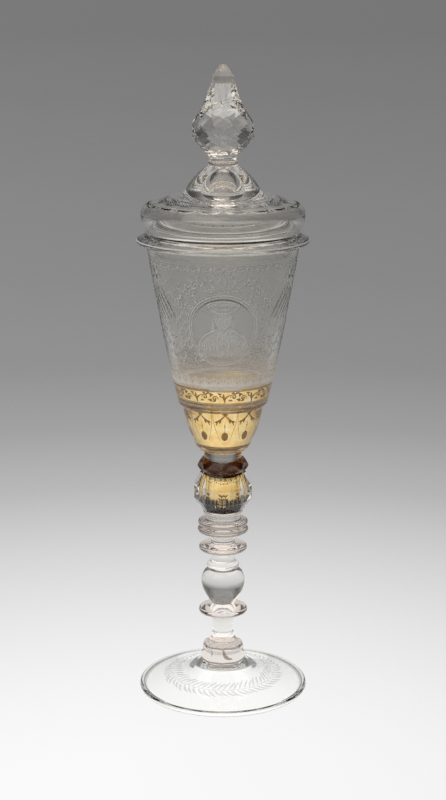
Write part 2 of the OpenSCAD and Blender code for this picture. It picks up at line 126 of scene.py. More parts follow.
def openMesh():
    bpy.ops.object.mode_set(mode="EDIT")
    bpy.ops.mesh.select_all(action="SELECT")


def closeMesh():
    bpy.ops.mesh.normals_make_consistent(inside=False)
    bpy.ops.object.mode_set(mode="OBJECT")


# adds a modifier to the picked piece and makes it permanent
def applyModifier(piece, kind, **settings):
    modifier = piece.modifiers.new(kind.lower(), kind)
    for name, value in settings.items():
        setattr(modifier, name, value)
    bpy.ops.object.modifier_apply(modifier=modifier.name)


# joins or cuts with a helper solid, which is then taken away
def combine(piece, helper, operation):
    pick(piece)
    applyModifier(piece, "BOOLEAN", object=helper, operation=operation, solver="EXACT")
    bpy.data.objects.remove(helper)


# breaks the edges that are sharper than an angle, as a grinder does
def breakEdges(piece, arris, sharp, smooth):
    applyModifier(piece, "BEVEL", width=arris * mm, segments=2, limit_method="ANGLE", angle_limit=radians(sharp))
    bpy.ops.object.shade_smooth_by_angle(angle=radians(smooth))


# turns an outline into a closed solid, as on a lathe
def turn(name, outline, steps=160, smooth=28):
    bpy.ops.object.select_all(action="DESELECT")
    bpy.ops.mesh.primitive_plane_add(size=mm)
    piece = bpy.context.object
    piece.name = piece.data.name = name
    openMesh()
    bpy.ops.mesh.merge(type="CENTER")
    here = outline[0]
    bpy.ops.transform.translate(value=(here[0] * mm, 0, here[1] * mm))
    solid = max(outline[0][0], outline[-1][0]) * mm < tiny
    for point in outline[1:] + ([] if solid else outline[:1]):      # a ring's outline is closed
        move = ((point[0] - here[0]) * mm, 0, (point[1] - here[1]) * mm)
        if hypot(move[0], move[2]) < tiny:
            continue
        bpy.ops.mesh.extrude_vertices_move(TRANSFORM_OT_translate={"value": move})
        here = point
    bpy.ops.mesh.select_all(action="SELECT")
    bpy.ops.mesh.spin(steps=steps, angle=2 * pi, center=(0, 0, 0), axis=(0, 0, 1))
    bpy.ops.mesh.select_all(action="SELECT")
    bpy.ops.mesh.remove_doubles(threshold=2 * tiny)
    closeMesh()
    bpy.ops.object.shade_smooth_by_angle(angle=radians(smooth))
    return piece


# gives another finish to the faces that pass a test of reach, height, outward and upward turn
def finishWhere(piece, finish, test):
    if finish.name not in piece.data.materials:
        piece.data.materials.append(finish)
    index = piece.data.materials.find(finish.name)
    for face in piece.data.polygons:
        middle = face.center
        radius = hypot(middle.x, middle.y)
        outward = (face.normal.x * middle.x + face.normal.y * middle.y) / max(radius, 1e-9)
        reach = max(hypot(*piece.data.vertices[v].co.xy) for v in face.vertices)
        if test(reach / mm, middle.z / mm, outward, face.normal.z):
            face.material_index = index


# a joint made hot or cemented is see-through, so light runs on: flat rings at given heights, within a radius in mm
def fuse(piece, *joints):
    near, flat = 0.02, 0.999

    def isJoint(reach, z, outward, up):
        return abs(up) > flat and any(abs(z - h) < near and reach < r + near for h, r in joints)
    finishWhere(piece, fusedJoint, isJoint)


# rides on its body, stands for its node and takes its material
def settle(piece, node, material, body="goblet"):
    piece.data.materials.clear()
    piece.data.materials.append(material)
    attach(piece, body)
    if node:
        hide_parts(node)
    return piece


# materials
def srgb(text):
    parts = [int(text[i:i + 2], 16) / 255 for i in (1, 3, 5)]
    return tuple(c / 12.92 if c <= 0.04045 else ((c + 0.055) / 1.055) ** 2.4 for c in parts) + (1,)


def grey(value):
    return value, value, value, 1


# adds a node with its settings, its values or links, and the stops of a colour ramp
def put(tree, kind, sockets=None, stops=(), **settings):
    node = tree.nodes.new(kind)
    for name, value in settings.items():
        setattr(node, name, value)
    for name, value in (sockets or {}).items():
        if isinstance(value, bpy.types.NodeSocket):
            tree.links.new(value, node.inputs[name])
        else:
            node.inputs[name].default_value = value
    if stops:
        ramp = node.color_ramp
        while len(ramp.elements) < len(stops):
            ramp.elements.new(0.5)
        for element, (place, colour) in zip(ramp.elements, stops):
            element.position, element.color = place, colour
    return node


# a material of one shader; look adds its patterns to the tree and gives the shader's sockets
def makeMaterial(name, look, kind="ShaderNodeBsdfPrincipled"):
    material = bpy.data.materials.new(name)
    material.use_nodes = True
    tree = material.node_tree
    tree.nodes.clear()
    shader = put(tree, kind, look(tree))
    put(tree, "ShaderNodeOutputMaterial", {"Surface": shader.outputs[0]})
    return material


# blown glass: polished by the fire, with long faint waves from the pipe
def makeBlownGlass(name, tint):
    wave, depth = 16 * mm, 0.03 * mm

    def look(tree):
        place = put(tree, "ShaderNodeTexCoord").outputs["Object"]
        waves = put(tree, "ShaderNodeTexNoise", {"Vector": place, "Scale": 1 / wave, "Detail": 1.5})
        bump = put(tree, "ShaderNodeBump", {"Height": waves.outputs["Fac"], "Strength": 1, "Distance": depth})
        return {"Base Color": srgb(tint), "Roughness": 0, "IOR": 1.51, "Transmission Weight": 1,
                "Normal": bump.outputs["Normal"]}
    return makeMaterial(name, look)


# cut and pressed glass: polished clear, tinted a little by the metal in it
def makeCutGlass(name, tint, ior=1.52, rough=0.0):
    return makeMaterial(name, lambda tree: {
        "Base Color": srgb(tint), "Roughness": rough, "IOR": ior, "Transmission Weight": 1})


# gold leaf behind glass: crinkled, with fine breaks and deeper patches
def goldLook(tree):
    patch, fold, depth = 4 * mm, 1.6 * mm, 0.2 * mm
    place = put(tree, "ShaderNodeTexCoord").outputs["Object"]
    patches = put(tree, "ShaderNodeTexNoise", {"Vector": place, "Scale": 1 / patch, "Detail": 4, "Roughness": 0.6})
    tone = put(tree, "ShaderNodeValToRGB", {"Fac": patches.outputs["Fac"]},
               [(0.3, srgb("#F3C872")), (0.55, srgb("#FFE29C")), (0.75, srgb("#FFF3CE"))])
    crinkle = put(tree, "ShaderNodeTexNoise", {"Vector": place, "Scale": 1 / fold, "Detail": 5, "Roughness": 0.65})
    bump = put(tree, "ShaderNodeBump", {"Height": crinkle.outputs["Fac"], "Strength": 0.28, "Distance": depth})
    return {"Base Color": tone.outputs["Color"], "Metallic": 1, "Roughness": 0.16, "Normal": bump.outputs["Normal"]}


# silver brushed on the back of the leaf, yellowed
def backingLook(tree):
    streak = 3 * mm
    place = put(tree, "ShaderNodeTexCoord").outputs["Object"]
    brush = put(tree, "ShaderNodeTexNoise", {"Vector": place, "Scale": 1 / streak, "Detail": 3})
    tone = put(tree, "ShaderNodeValToRGB", {"Fac": brush.outputs["Fac"]},
               [(0.35, srgb("#EFD9AE")), (0.65, srgb("#FBECCC"))])
    return {"Base Color": tone.outputs["Color"], "Metallic": 1, "Roughness": 0.42}


# resin cement, nearly black, with a dull uneven face
def cementLook(tree):
    lump, depth = 1.2 * mm, 0.2 * mm
    place = put(tree, "ShaderNodeTexCoord").outputs["Object"]
    grain = put(tree, "ShaderNodeTexNoise", {"Vector": place, "Scale": 1 / lump, "Detail": 4})
    tone = put(tree, "ShaderNodeValToRGB", {"Fac": grain.outputs["Fac"]},
               [(0.35, srgb("#14100C")), (0.7, srgb("#3A2F26"))])
    bump = put(tree, "ShaderNodeBump", {"Height": grain.outputs["Fac"], "Strength": 0.5, "Distance": depth})
    return {"Base Color": tone.outputs["Color"], "Roughness": 0.55, "Normal": bump.outputs["Normal"]}


# wheel engraving, ground grey and left unpolished; cover is how much of the glass it hides
def makeGroundGlass(name, low, high, cover):
    grit = 0.6 * mm

    def look(tree):
        place = put(tree, "ShaderNodeTexCoord").outputs["Object"]
        grain = put(tree, "ShaderNodeTexNoise", {"Vector": place, "Scale": 1 / grit, "Detail": 3})
        tone = put(tree, "ShaderNodeValToRGB", {"Fac": grain.outputs["Fac"]}, [(0.35, srgb(low)), (0.65, srgb(high))])
        return {"Base Color": tone.outputs["Color"], "Roughness": 0.7, "Alpha": cover}
    return makeMaterial(name, look)


# lacquer behind the glass, worn in spots
def makeLacquer(name, dark, middle, light):
    spot = 1.5 * mm

    def look(tree):
        place = put(tree, "ShaderNodeTexCoord").outputs["Object"]
        wear = put(tree, "ShaderNodeTexNoise", {"Vector": place, "Scale": 1 / spot, "Detail": 4})
        tone = put(tree, "ShaderNodeValToRGB", {"Fac": wear.outputs["Fac"]},
                   [(0.3, srgb(dark)), (0.6, srgb(middle)), (0.8, srgb(light))])
        return {"Base Color": tone.outputs["Color"], "Metallic": 0.7, "Roughness": 0.4}
    return makeMaterial(name, look)


blownGlass = makeBlownGlass("clearBlownGlass", "#F7F6F2")
footGlass = makeBlownGlass("clearFootGlass", "#FEFEFC")
cutGlass = makeCutGlass("clearCutGlass", "#F8F6F2")
wornGlass = makeCutGlass("wornRimGlass", "#F3EDE6", 1.5, 0.3)               # rubbed dull by use
warmGlass = makeCutGlass("warmPressedGlass", "#F5EAE1")
roseGlass = makeCutGlass("roseKnobGlass", "#EEDFD5")
amberGlass = makeCutGlass("amberGlass", "#6E3A08")
# where two gathers were joined hot there is no surface left between them
fusedJoint = makeMaterial("fusedJoint", lambda tree: {}, "ShaderNodeBsdfTransparent")
goldLeaf = makeMaterial("goldLeaf", goldLook)
leafBacking = makeMaterial("leafBacking", backingLook)
darkCement = makeMaterial("darkCement", cementLook)
groundGlass = makeGroundGlass("groundGlass", "#D9D8D3", "#F4F3EF", 0.28)    # the main cuts, pale and matt
matteGlass = makeGroundGlass("matteGlass", "#D2D2D0", "#ECECEA", 0.16)      # areas only breathed on by the wheel
shadeCut = makeGroundGlass("shadeCut", "#3E3E3A", "#565650", 0.24)          # painted shade: the shaded side of a cut, as a dark copy beside it
deepCutShade = makeGroundGlass("deepCutShade", "#30302C", "#4A4A44", 0.46)            # painted shade on the far side of a deep cut
wreathSlopeShade = makeGroundGlass("wreathSlopeShade", "#4E4E4A", "#6A6A65", 0.12)        # polished over, so only its slopes show, in painted shade of dark grey
paintedEdgeHighlight = makeGroundGlass("paintedEdgeHighlight", "#F6F5F1", "#FFFFFF", 0.95)      # painted highlight: a near-white band where the overhead light catches the flange's rounded edge
fineCut = makeGroundGlass("fineCut", "#D9D8D3", "#F4F3EF", 0.22)            # cuts of the smallest wheel
borderCut = makeGroundGlass("borderCut", "#E2E0DA", "#FAF8F3", 0.5)         # close cuts, almost white
portraitCut = makeGroundGlass("portraitCut", "#DCDBD6", "#F4F3EF", 0.42)    # firmer lines of the bust
faintShade = makeGroundGlass("faintShade", "#3E3E3A", "#565650", 0.13)      # painted shade: the shaded side of a fine cut, as a dark copy beside it
gatherShade = makeGroundGlass("gatherShade", "#6A5C50", "#85766A", 0.42)    # painted shade in the folds in the gather of the base knob
stepCement = makeLacquer("stepCement", "#D9C9B5", "#EBDDCB", "#FFF6E8")     # old cement where the two walls step in
needleBrown = makeLacquer("needleBrown", "#94692C", "#B08843", "#CBA35C")   # behind the lines drawn through the leaf
print("materials ready")

# foot, a blown cone with a folded rim and a ground pontil mark
foot = {"rim": 3.2, "fold": 2.6, "foldLift": 1.2, "foldEase": 0.35, "wall": 5.0, "dip": 0.7, "flare": (15.2, 3.1),
        "flareDip": 0.5, "pontil": 8.5, "pontilDip": 0.9, "knobFoot": 10.9}
footR = outerRadius("foot")
footTop = levels("foot")[1]
under = footTop - foot["wall"]
rimMid = foot["rim"] / 2
foldR = footR - foot["fold"]
flareFoot = (foot["flare"][0], footTop - foot["flare"][1])
footUpper = (bow((footR - rimMid, foot["rim"]), flareFoot, -foot["dip"], 32)
             + bow(flareFoot, (foot["knobFoot"], footTop), -foot["flareDip"], 12)[1:])
outline = (
    oval((0, under), foot["pontil"], foot["pontilDip"], 90, 0, 10)
    + bow((foot["pontil"], under), (foldR, foot["foldLift"]), foot["dip"], 40)
    + easeCorner((foldR, foot["foldLift"]), (foldR, 0), (footR - rimMid, 0), foot["foldEase"])
    + oval((footR - rimMid, rimMid), rimMid, rimMid, -90, 90, 18)
    + footUpper + [(0, footTop)])
piece = settle(turn("footGlass", outline, 200), "foot", footGlass)
fuse(piece, (footTop, foot["knobFoot"]))

noSeat = 99                                     # wider than any piece: the joint is as wide as the end


# a solid between two flat ends; a seat is a joint that is narrower than its end
def turnBetween(name, node, side, material, body="goblet", seats=(noSeat, noSeat)):
    z0, z1 = levels(node)
    low, high = side[0][0], side[-1][0]
    floor = [(0, z0)] + ([(seats[0], z0)] if seats[0] < low else [])
    roof = ([(seats[1], z1)] if seats[1] < high else []) + [(0, z1)]
    piece = settle(turn(name, floor + side + roof), node, material, body)
    fuse(piece, (z0, min(low, seats[0])), (z1, min(high, seats[1])))


# a rod or ring whose side bulges or draws in
def turnBarrel(name, node, end, bulge, material, body="goblet", seats=(noSeat, noSeat)):
    z0, z1 = levels(node)
    turnBetween(name, node, bow((end, z0), (end, z1), bulge, 16), material, body, seats)


# a pressed disc with a rounded edge between two seats
def turnMerese(name, node, low, high, seats=(noSeat, noSeat)):
    z0, z1 = levels(node)
    edge = stem["mereseEdge"] / 2
    rim = oval((outerRadius(node) - edge, (z0 + z1) / 2), edge, edge, -90, 90, 18)
    turnBetween(name, node, [(low, z0)] + rim + [(high, z1)], warmGlass, seats=seats)


# base knob, a cushion with a hollow top
baseKnob = {"shoulder": (9.3, 8.7), "bulge": 0.5, "cove": 0.8, "neck": 5.7, "ease": 0.7}
z0, z1 = levels("base_knob")
shoulder = (baseKnob["shoulder"][0], z0 + baseKnob["shoulder"][1])
knobSide = bow((foot["knobFoot"], z0), shoulder, baseKnob["bulge"], 16)
high = bow(shoulder, (baseKnob["neck"], z1), -baseKnob["cove"], 14)
knobOutline = easeBetween(knobSide, shoulder, high, baseKnob["ease"])
turnBetween("baseKnobGlass", "base_knob", knobOutline, roseGlass)

stem = {"lowerNeck": 5.7, "waist": 0.35, "balusterFoot": 5.9, "shortNeck": 5.5, "upperNeck": 6.0, "mereseEdge": 2.8,
        "twinSeam": 9.6, "collarSeat": 9.8, "collar": 9.4}
turnBarrel("lowerNeckGlass", "lower_neck", stem["lowerNeck"], -stem["waist"], cutGlass)
turnMerese("lowerMereseGlass", "lower_merese", stem["lowerNeck"], stem["balusterFoot"])

# inverted baluster, a solid knop widest near its top
baluster = {"wide": 10.8, "rise": 11.4, "top": 7.1, "steps": 24}
z0, z1 = levels("baluster_knop")
wideZ = z0 + baluster["rise"]
shares = [i / baluster["steps"] for i in range(baluster["steps"] + 1)]
grow = baluster["wide"] - stem["balusterFoot"]
swell = [(stem["balusterFoot"] + grow * sin(pi / 2 * t), z0 + baluster["rise"] * t) for t in shares]
crown = oval((baluster["top"], wideZ), baluster["wide"] - baluster["top"], z1 - wideZ, 0, 90, 18)
turnBetween("balusterGlass", "baluster_knop", swell + crown[1:], cutGlass)

# ring on the baluster, full at its middle and drawn in to the neck above
ring = {"full": 0.8, "share": 0.5, "lowBulge": 0.35, "dip": 0.5, "ease": 0.5}
z0, z1 = levels("baluster_ring")
full = (baluster["top"] + ring["full"], z0 + (z1 - z0) * ring["share"])
low = bow((baluster["top"], z0), full, ring["lowBulge"], 10)
high = bow(full, (stem["shortNeck"], z1), -ring["dip"], 14)
turnBetween("balusterRingGlass", "baluster_ring", easeBetween(low, full, high, ring["ease"]), cutGlass)

turnBarrel("shortNeckGlass", "short_neck", stem["shortNeck"], -stem["waist"], cutGlass)
turnMerese("middleMereseGlass", "middle_merese", stem["shortNeck"], stem["upperNeck"])
turnBarrel("upperNeckGlass", "upper_neck", stem["upperNeck"], -stem["waist"], cutGlass)
turnMerese("twinMereseLowerGlass", "twin_merese_lower", stem["upperNeck"], stem["twinSeam"])
turnMerese("twinMereseUpperGlass", "twin_merese_upper", stem["twinSeam"], stem["collarSeat"],
           (noSeat, stem["collar"]))

# collar under the knop, a bead on a short waist; the gap keeps its top clear of the knop
collar = {"bead": 9.8, "beadWidth": 1.0, "beadHeight": 2.6, "waist": 8.9, "waistDip": 0.25, "gap": 0.03}
z0, z1 = levels("knop_collar")
beadMid = collar["beadHeight"] / 2
beadZ = z1 - collar["gap"] - collar["beadHeight"]
bead = oval((collar["bead"] - collar["beadWidth"], beadZ + beadMid), collar["beadWidth"], beadMid, -90, 90, 16)
outline = ([(0, z0)] + bow((stem["collar"], z0), (collar["waist"], beadZ), -collar["waistDip"], 10)
           + bead + [(0, z1 - collar["gap"])])
piece = settle(turn("knopCollarGlass", outline), "knop_collar", cutGlass)
fuse(piece, (z0, stem["collar"]))
print("foot and stem turned")

# gilded knop, cut with flat facets and bored from below for its gilded core
knop = {"foot": 10.3, "wide": 14.2, "top": 10.8, "lower": 5.6, "belt": 7.6, "count": 8, "arris": 0.12, "sharp": 8,
        "smooth": 4, "flat": 1, "bore": 7.2, "boreSteps": 128, "roof": 3.0, "overrun": 2.0, "cementEase": 0.3}
leaf = {"thick": 0.14, "cement": 0.06}          # the same leaf in the knop and in the casing
z0, z1 = levels("knop_shell")
beltZ = z0 + knop["lower"]
outline = [(0, z0), (knop["foot"], z0), (knop["wide"], beltZ), (knop["wide"], beltZ + knop["belt"]),
           (knop["top"], z1), (0, z1)]
shell = turn("knopShellGlass", outline, knop["count"], knop["flat"])
openMesh()
bpy.ops.mesh.dissolve_limited(angle_limit=radians(knop["flat"]))
closeMesh()
breakEdges(shell, knop["arris"], knop["sharp"], knop["smooth"])
boreTop = z1 - knop["roof"]
boreLow = z0 - knop["overrun"]
bpy.ops.object.select_all(action="DESELECT")
bpy.ops.mesh.primitive_cylinder_add(vertices=knop["boreSteps"], radius=knop["bore"] * mm,
                                    depth=(boreTop - boreLow) * mm, location=(0, 0, (boreTop + boreLow) / 2 * mm))
combine(shell, bpy.context.object, "DIFFERENCE")
bpy.ops.object.shade_smooth_by_angle(angle=radians(knop["smooth"]))
settle(shell, "knop_shell", cutGlass)
finishWhere(shell, fusedJoint, lambda reach, z, outward, up:        # cemented to its core
            outward < -0.5 or (up < -0.9 and abs(z - boreTop) < 0.05))

z0, z1 = levels("knop_leaf")
leafR = outerRadius("knop_leaf")
outline = [(leafR - leaf["thick"], z0), (leafR, z0), (leafR, z1), (leafR - leaf["thick"], z1)]
settle(turn("knopLeafGold", outline), "knop_leaf", goldLeaf)
z0, z1 = levels("knop_core")
coreR = outerRadius("knop_core")
core = turn("knopCoreGlass", [(0, z0), (coreR, z0), (coreR, z1), (0, z1)])
settle(core, "knop_core", cutGlass)
finishWhere(core, fusedJoint, lambda reach, z, outward, up: True)
z0, z1 = levels("knop_cement")
corners = [(0, z0), (outerRadius("knop_cement"), z0), (outerRadius("knop_cement"), z1), (0, z1)]
outline = (corners[:1] + easeCorner(*corners[:3], knop["cementEase"]) + easeCorner(*corners[1:], knop["cementEase"])
           + corners[3:])
settle(turn("knopCementFill", outline), "knop_cement", darkCement)


# the middle, as an angle, of the facet that an angle falls in
def facetMiddle(angle, count):
    share = 2 * pi / count
    return (int(angle / share + 100) - 100 + 0.5) * share           # whole turns added, so that it rounds down


# amber ring, its edge ground with eight oval hollows; the gap keeps its ends clear of its neighbours
amber = {"low": 10.8, "wide": 12.6, "top": 10.5, "lower": 2.3, "count": 8, "hollow": 11.0, "wheel": 8.0, "bulge": 0.15,
         "ease": 0.3, "gap": 0.02, "smooth": 12}
z0, z1 = levels("amber_ring")
wide = (amber["wide"], z0 + amber["lower"])
z0, z1 = z0 + amber["gap"], z1 - amber["gap"]
low = bow((amber["low"], z0), wide, amber["bulge"], 12)
high = bow(wide, (amber["top"], z1), amber["bulge"], 12)
ring = turn("amberRingGlass", [(0, z0)] + easeBetween(low, wide, high, amber["ease"]) + [(0, z1)], 192)
axis = amber["hollow"] + amber["wheel"]                             # the wheel's centre, out from the ring
for vertex in ring.data.vertices:
    place = vertex.co / mm
    azimuth = atan2(place.y, place.x) + pi / 2
    side = facetMiddle(azimuth, amber["count"]) - azimuth
    reach = hypot(place.x, place.y)
    rest = amber["wheel"] ** 2 - (axis * sin(side)) ** 2 - (place.z - wide[1]) ** 2
    if rest > 0 and reach > axis * cos(side) - rest ** 0.5:
        vertex.co.xy *= (axis * cos(side) - rest ** 0.5) / reach
ring.data.update()
bpy.ops.object.shade_smooth_by_angle(angle=radians(amber["smooth"]))
settle(ring, "amber_ring", amberGlass)

button = {"end": 8.8, "bulge": 0.5}
turnBarrel("bowlButtonGlass", "bowl_button", button["end"], button["bulge"], cutGlass, seats=(0, noSeat))
print("knop and amber ring cut")

# casing, the outer glass that holds the leaf against the bowl
casing = {"base": 9.3, "cupLow": (14.0, 5.1), "cupTop": (19.5, 23.1), "friezeLow": (21.9, 25.5), "top": 24.2,
          "wall": 1.7, "floor": 3.0, "stepWall": 1.8, "baseBulge": 1.0, "cupBulge": 0.9, "stepBulge": 0.5, "ease": 0.8}
z0, ledgeZ = levels("casing")
cupLow, cupTop, friezeLow = [(r, z0 + rise) for r, rise in (casing["cupLow"], casing["cupTop"], casing["friezeLow"])]
casingTop = (casing["top"], ledgeZ)


# inner radius of the cup and of the band above it
def cupIn(z):
    return cupLow[0] - casing["wall"] + (cupTop[0] - cupLow[0]) * (z - cupLow[1]) / (cupTop[1] - cupLow[1])


def friezeIn(z):
    return friezeLow[0] - casing["wall"] + (casing["top"] - friezeLow[0]) * (z - friezeLow[1]) / (ledgeZ - friezeLow[1])


floorZ = z0 + casing["floor"]
floorR = cupLow[0] - casing["wall"] - (cupLow[1] - floorZ)
stepLow, stepHigh = cupTop[1] + casing["stepWall"], friezeLow[1] + casing["stepWall"]
base = bow((casing["base"], z0), cupLow, casing["baseBulge"], 14)
side = bow(cupLow, cupTop, casing["cupBulge"], 20)
step = bow(cupTop, friezeLow, casing["stepBulge"], 10)
outline = (
    [(0, z0), (button["end"], z0)] + base[:-1] + easeCorner(base[-3], cupLow, side[3], casing["ease"]) + side[3:-3]
    + easeCorner(side[-4], cupTop, step[3], casing["ease"]) + step[3:-2]
    + easeCorner(step[-3], friezeLow, casingTop, casing["ease"])
    + [casingTop, (friezeIn(ledgeZ), ledgeZ), (friezeIn(stepHigh), stepHigh), (cupIn(stepLow), stepLow)]
    + [(cupIn(cupLow[1]), cupLow[1]), (floorR, floorZ), (0, floorZ)])
piece = settle(turn("casingGlass", outline, 200), "casing", cutGlass)
fuse(piece, (z0, button["end"]), (ledgeZ, casing["top"]))
finishWhere(piece, fusedJoint, lambda reach, z, outward, up:        # cemented to the leaf and the bowl
            outward < -0.05 or (up > 0.9 and abs(z - floorZ) < 0.05))

# gold leaf between casing and bowl
thick, bed = leaf["thick"], leaf["cement"]
leafFit = thick + 2 * bed
z0, z1 = levels("frieze_leaf")
friezeFace = [(friezeIn(z) - bed, z) for z in (z0, z1)]
outline = friezeFace + [(r - thick, z) for r, z in reversed(friezeFace)]
piece = settle(turn("friezeLeafGold", outline, 200), "frieze_leaf", goldLeaf)
finishWhere(piece, leafBacking, lambda reach, z, outward, up: outward < -0.05)
z0, z1 = levels("cup_leaf")
cupFace = [(cupIn(z) - bed, z) for z in (cupLow[1], z1)]
outline = ([(0, z0), (floorR - bed, z0)] + cupFace + [(r - thick, z) for r, z in reversed(cupFace)]
           + [(floorR - bed - thick, z0 + thick), (0, z0 + thick)])
piece = settle(turn("cupLeafGold", outline, 200), "cup_leaf", goldLeaf)
finishWhere(piece, leafBacking, lambda reach, z, outward, up: outward < -0.05 or up > 0.5)

# bowl, a cone blown on a ground plug that fits the casing
bowl = {"lip": 36.5, "lipWall": 2.6, "lowWall": 3.8, "swell": 0.4, "floor": 15.0, "round": 18.0}
z0, lipZ = levels("bowl")
sideZ = floorZ + bowl["floor"] + bowl["round"]
sideR = casing["top"] - bowl["lowWall"] + (bowl["lip"] - casing["top"]) * (sideZ - ledgeZ) / (lipZ - ledgeZ)
lipMid = bowl["lipWall"] / 2
bowlOuter = bow(casingTop, (bowl["lip"], lipZ - lipMid), bowl["swell"], 60)
outline = (
    [(0, z0), (floorR - leafFit, z0), (cupIn(cupLow[1]) - leafFit, cupLow[1]), (cupIn(stepLow) - leafFit, stepLow),
     (friezeIn(stepHigh) - leafFit, stepHigh), (friezeIn(ledgeZ) - leafFit, ledgeZ), (friezeIn(ledgeZ), ledgeZ)]
    + bowlOuter + oval((bowl["lip"] - lipMid, lipZ - lipMid), lipMid, lipMid, 0, 180, 20)[1:]
    + bow((bowl["lip"] - bowl["lipWall"], lipZ - lipMid), (sideR, sideZ), -bowl["swell"], 60)[1:]
    + oval((0, sideZ), sideR, bowl["round"], 0, -90, 24)[1:])
piece = settle(turn("bowlGlass", outline, 200), "bowl", blownGlass)
finishWhere(piece, fusedJoint, lambda reach, z, outward, up:        # the ground plug
            z < ledgeZ + 0.02 and (outward > 0.05 or up < -0.9))
print("bowl and casing turned")

# cover, a shell with a flange, a shoulder cut in panels and a dome
cover = {"rim": 33.3, "wall": 2.4, "taper": 1.03, "drop": 5.0, "ease": 0.5, "flange": 2.6, "cove": 0.9,
         "waist": (37.2, 6.2), "lowBulge": 0.5, "shoulder": (39.2, 13.6), "crown": (15.2, 8.6),
         "domeFoot": 17.2, "flare": (4.6, 4.3),
         "flareDip": 0.6, "domeBulge": 0.8, "hollow": (7.2, 12.4), "hollowSink": 2.9, "seat": 7.3, "collarEnd": 6.8}
panel = {"count": 18, "depth": 1.0, "angle": radians(59), "notch": (0.7, 0.9), "margin": 1.0, "smooth": 5}
z0, seatZ = levels("cover_shell")
flangeR = outerRadius("cover_shell")
flangeZ = z0 + cover["drop"]
waist = (cover["waist"][0], flangeZ + cover["waist"][1])
wide = (cover["shoulder"][0], flangeZ + cover["shoulder"][1])
crownW, crownH = cover["crown"]
crownR, crownZ = wide[0] - crownW, wide[1] + crownH
hollowZ = crownZ - cover["hollowSink"]
domeFoot = (cover["domeFoot"], crownZ + cover["flare"][1])
crownIn = (domeFoot[0] + cover["flare"][0], crownZ)
rimOut, innerR = (cover["rim"], flangeZ), cover["rim"] - cover["wall"]
rimLow, innerLow = (cover["rim"] - cover["taper"], z0), (innerR - cover["taper"], z0)
hollowR, hollowH = cover["hollow"]
hollowLow = degrees(asin((cover["hollowSink"] - cover["wall"]) / hollowH))
edge = cover["flange"] / 2
outline = (
    [(0, hollowZ + hollowH)] + oval((0, hollowZ), hollowR, hollowH, 90, hollowLow, 40)[1:]
    + oval((crownR, wide[1]), crownW - cover["wall"], crownH - cover["wall"], 90, 0, 30)
    + [(waist[0] - cover["wall"], waist[1]), (innerR, flangeZ)]
    + easeCorner((innerR, flangeZ), innerLow, rimLow, cover["ease"])
    + easeCorner(innerLow, rimLow, rimOut, cover["ease"]) + [rimOut]
    + oval((flangeR - edge, flangeZ + edge), edge, edge, -90, 90, 18)
    + bow((flangeR - edge, flangeZ + cover["flange"]), waist, -cover["cove"], 14)[1:]
    + bow(waist, wide, cover["lowBulge"], 14)[1:]
    + oval((crownR, wide[1]), crownW, crownH, 0, 90, 110)[1:]
    + bow(crownIn, domeFoot, -cover["flareDip"], 12)
    + bow(domeFoot, (cover["seat"], seatZ), cover["domeBulge"], 30)[1:]
    + [(cover["collarEnd"], seatZ), (0, seatZ)])
shell = turn("coverGlass", outline, 288)
tilt = atan2(sin(panel["angle"]) / crownH, cos(panel["angle"]) / crownW)
panelR = wide[0] - crownW * (1 - cos(panel["angle"])) - panel["depth"] * cos(tilt)
panelZ = wide[1] + crownH * sin(panel["angle"]) - panel["depth"] * sin(tilt)
bite, notchDepth = panel["notch"]
for vertex in shell.data.vertices:              # what stands above a panel's plane is ground down to it
    place = vertex.co / mm
    inBand = wide[1] + panel["margin"] <= place.z <= crownZ + 0.01
    if not inBand or hypot(place.x, place.y) < crownR - panel["margin"]:
        continue
    azimuth = atan2(place.y, place.x) + pi / 2
    side = facetMiddle(azimuth, panel["count"]) - pi / 2
    square = Vector((cos(side) * cos(tilt), sin(side) * cos(tilt), sin(tilt)))
    proud = (place - Vector((cos(side) * panelR, sin(side) * panelR, panelZ))).dot(square)
    if proud > 0:
        middle = 1 - abs(azimuth - pi / 2 - side) * panel["count"] / pi
        notch = 0
        if place.z < panelZ and proud < bite:   # where the wheel first bit
            notch = notchDepth * sin(pi * proud / bite) * min(1, 2 * middle)
        vertex.co = (place - square * (proud + notch)) * mm
shell.data.update()
bpy.ops.object.shade_smooth_by_angle(angle=radians(panel["smooth"]))
settle(shell, "cover_shell", cutGlass, "cover")
fuse(shell, (seatZ, cover["collarEnd"]))
# painted highlight on the upper part of the flange's rounded edge, all round
finishWhere(shell, paintedEdgeHighlight, lambda reach, z, outward, up:
            reach > flangeR - edge and z > flangeZ + edge and 0.2 < up < 0.68)
print("cover cut")

# finial, a drop cut in staggered rows of (height, radius), with a bud at its tip
finial = {"collarBulge": 0.5, "neck": 6.2, "neckHeight": 4.2, "cove": 0.7, "lowR": 9.5, "height": 31.6, "cuts": 10,
          "rows": ((-1.0, 8.4), (3.0, 12.2), (6.6, 14.8), (10.0, 15.2), (13.4, 14.4), (20.4, 10.4), (31.6, 5.6)),
          "weld": 1.0, "arris": 0.14, "sharp": 7, "smooth": 6}
bud = {"blank": 17.0, "low": 10.6, "draw": 0.86, "shoulder": 0.5, "top": 2.8, "count": 8, "wornFrom": 0.5}
turnBarrel("finialCollarGlass", "finial_collar", cover["collarEnd"], finial["collarBulge"], warmGlass,
           "cover", (noSeat, finial["neck"]))


# cuts a row of flat facets: across is measured over the flats at height z, changing by slope per mm
def cutFacets(piece, across, z, slope, count):
    pick(piece)
    openMesh()
    for i in range(count):
        a = 2 * pi * i / count
        bpy.ops.mesh.select_all(action="SELECT")
        bpy.ops.mesh.bisect(plane_co=(across / 2 * cos(a) * mm, across / 2 * sin(a) * mm, z * mm),
                            plane_no=(cos(a), sin(a), -slope / 2), use_fill=True, clear_outer=True, threshold=1e-7)
    bpy.ops.object.mode_set(mode="OBJECT")


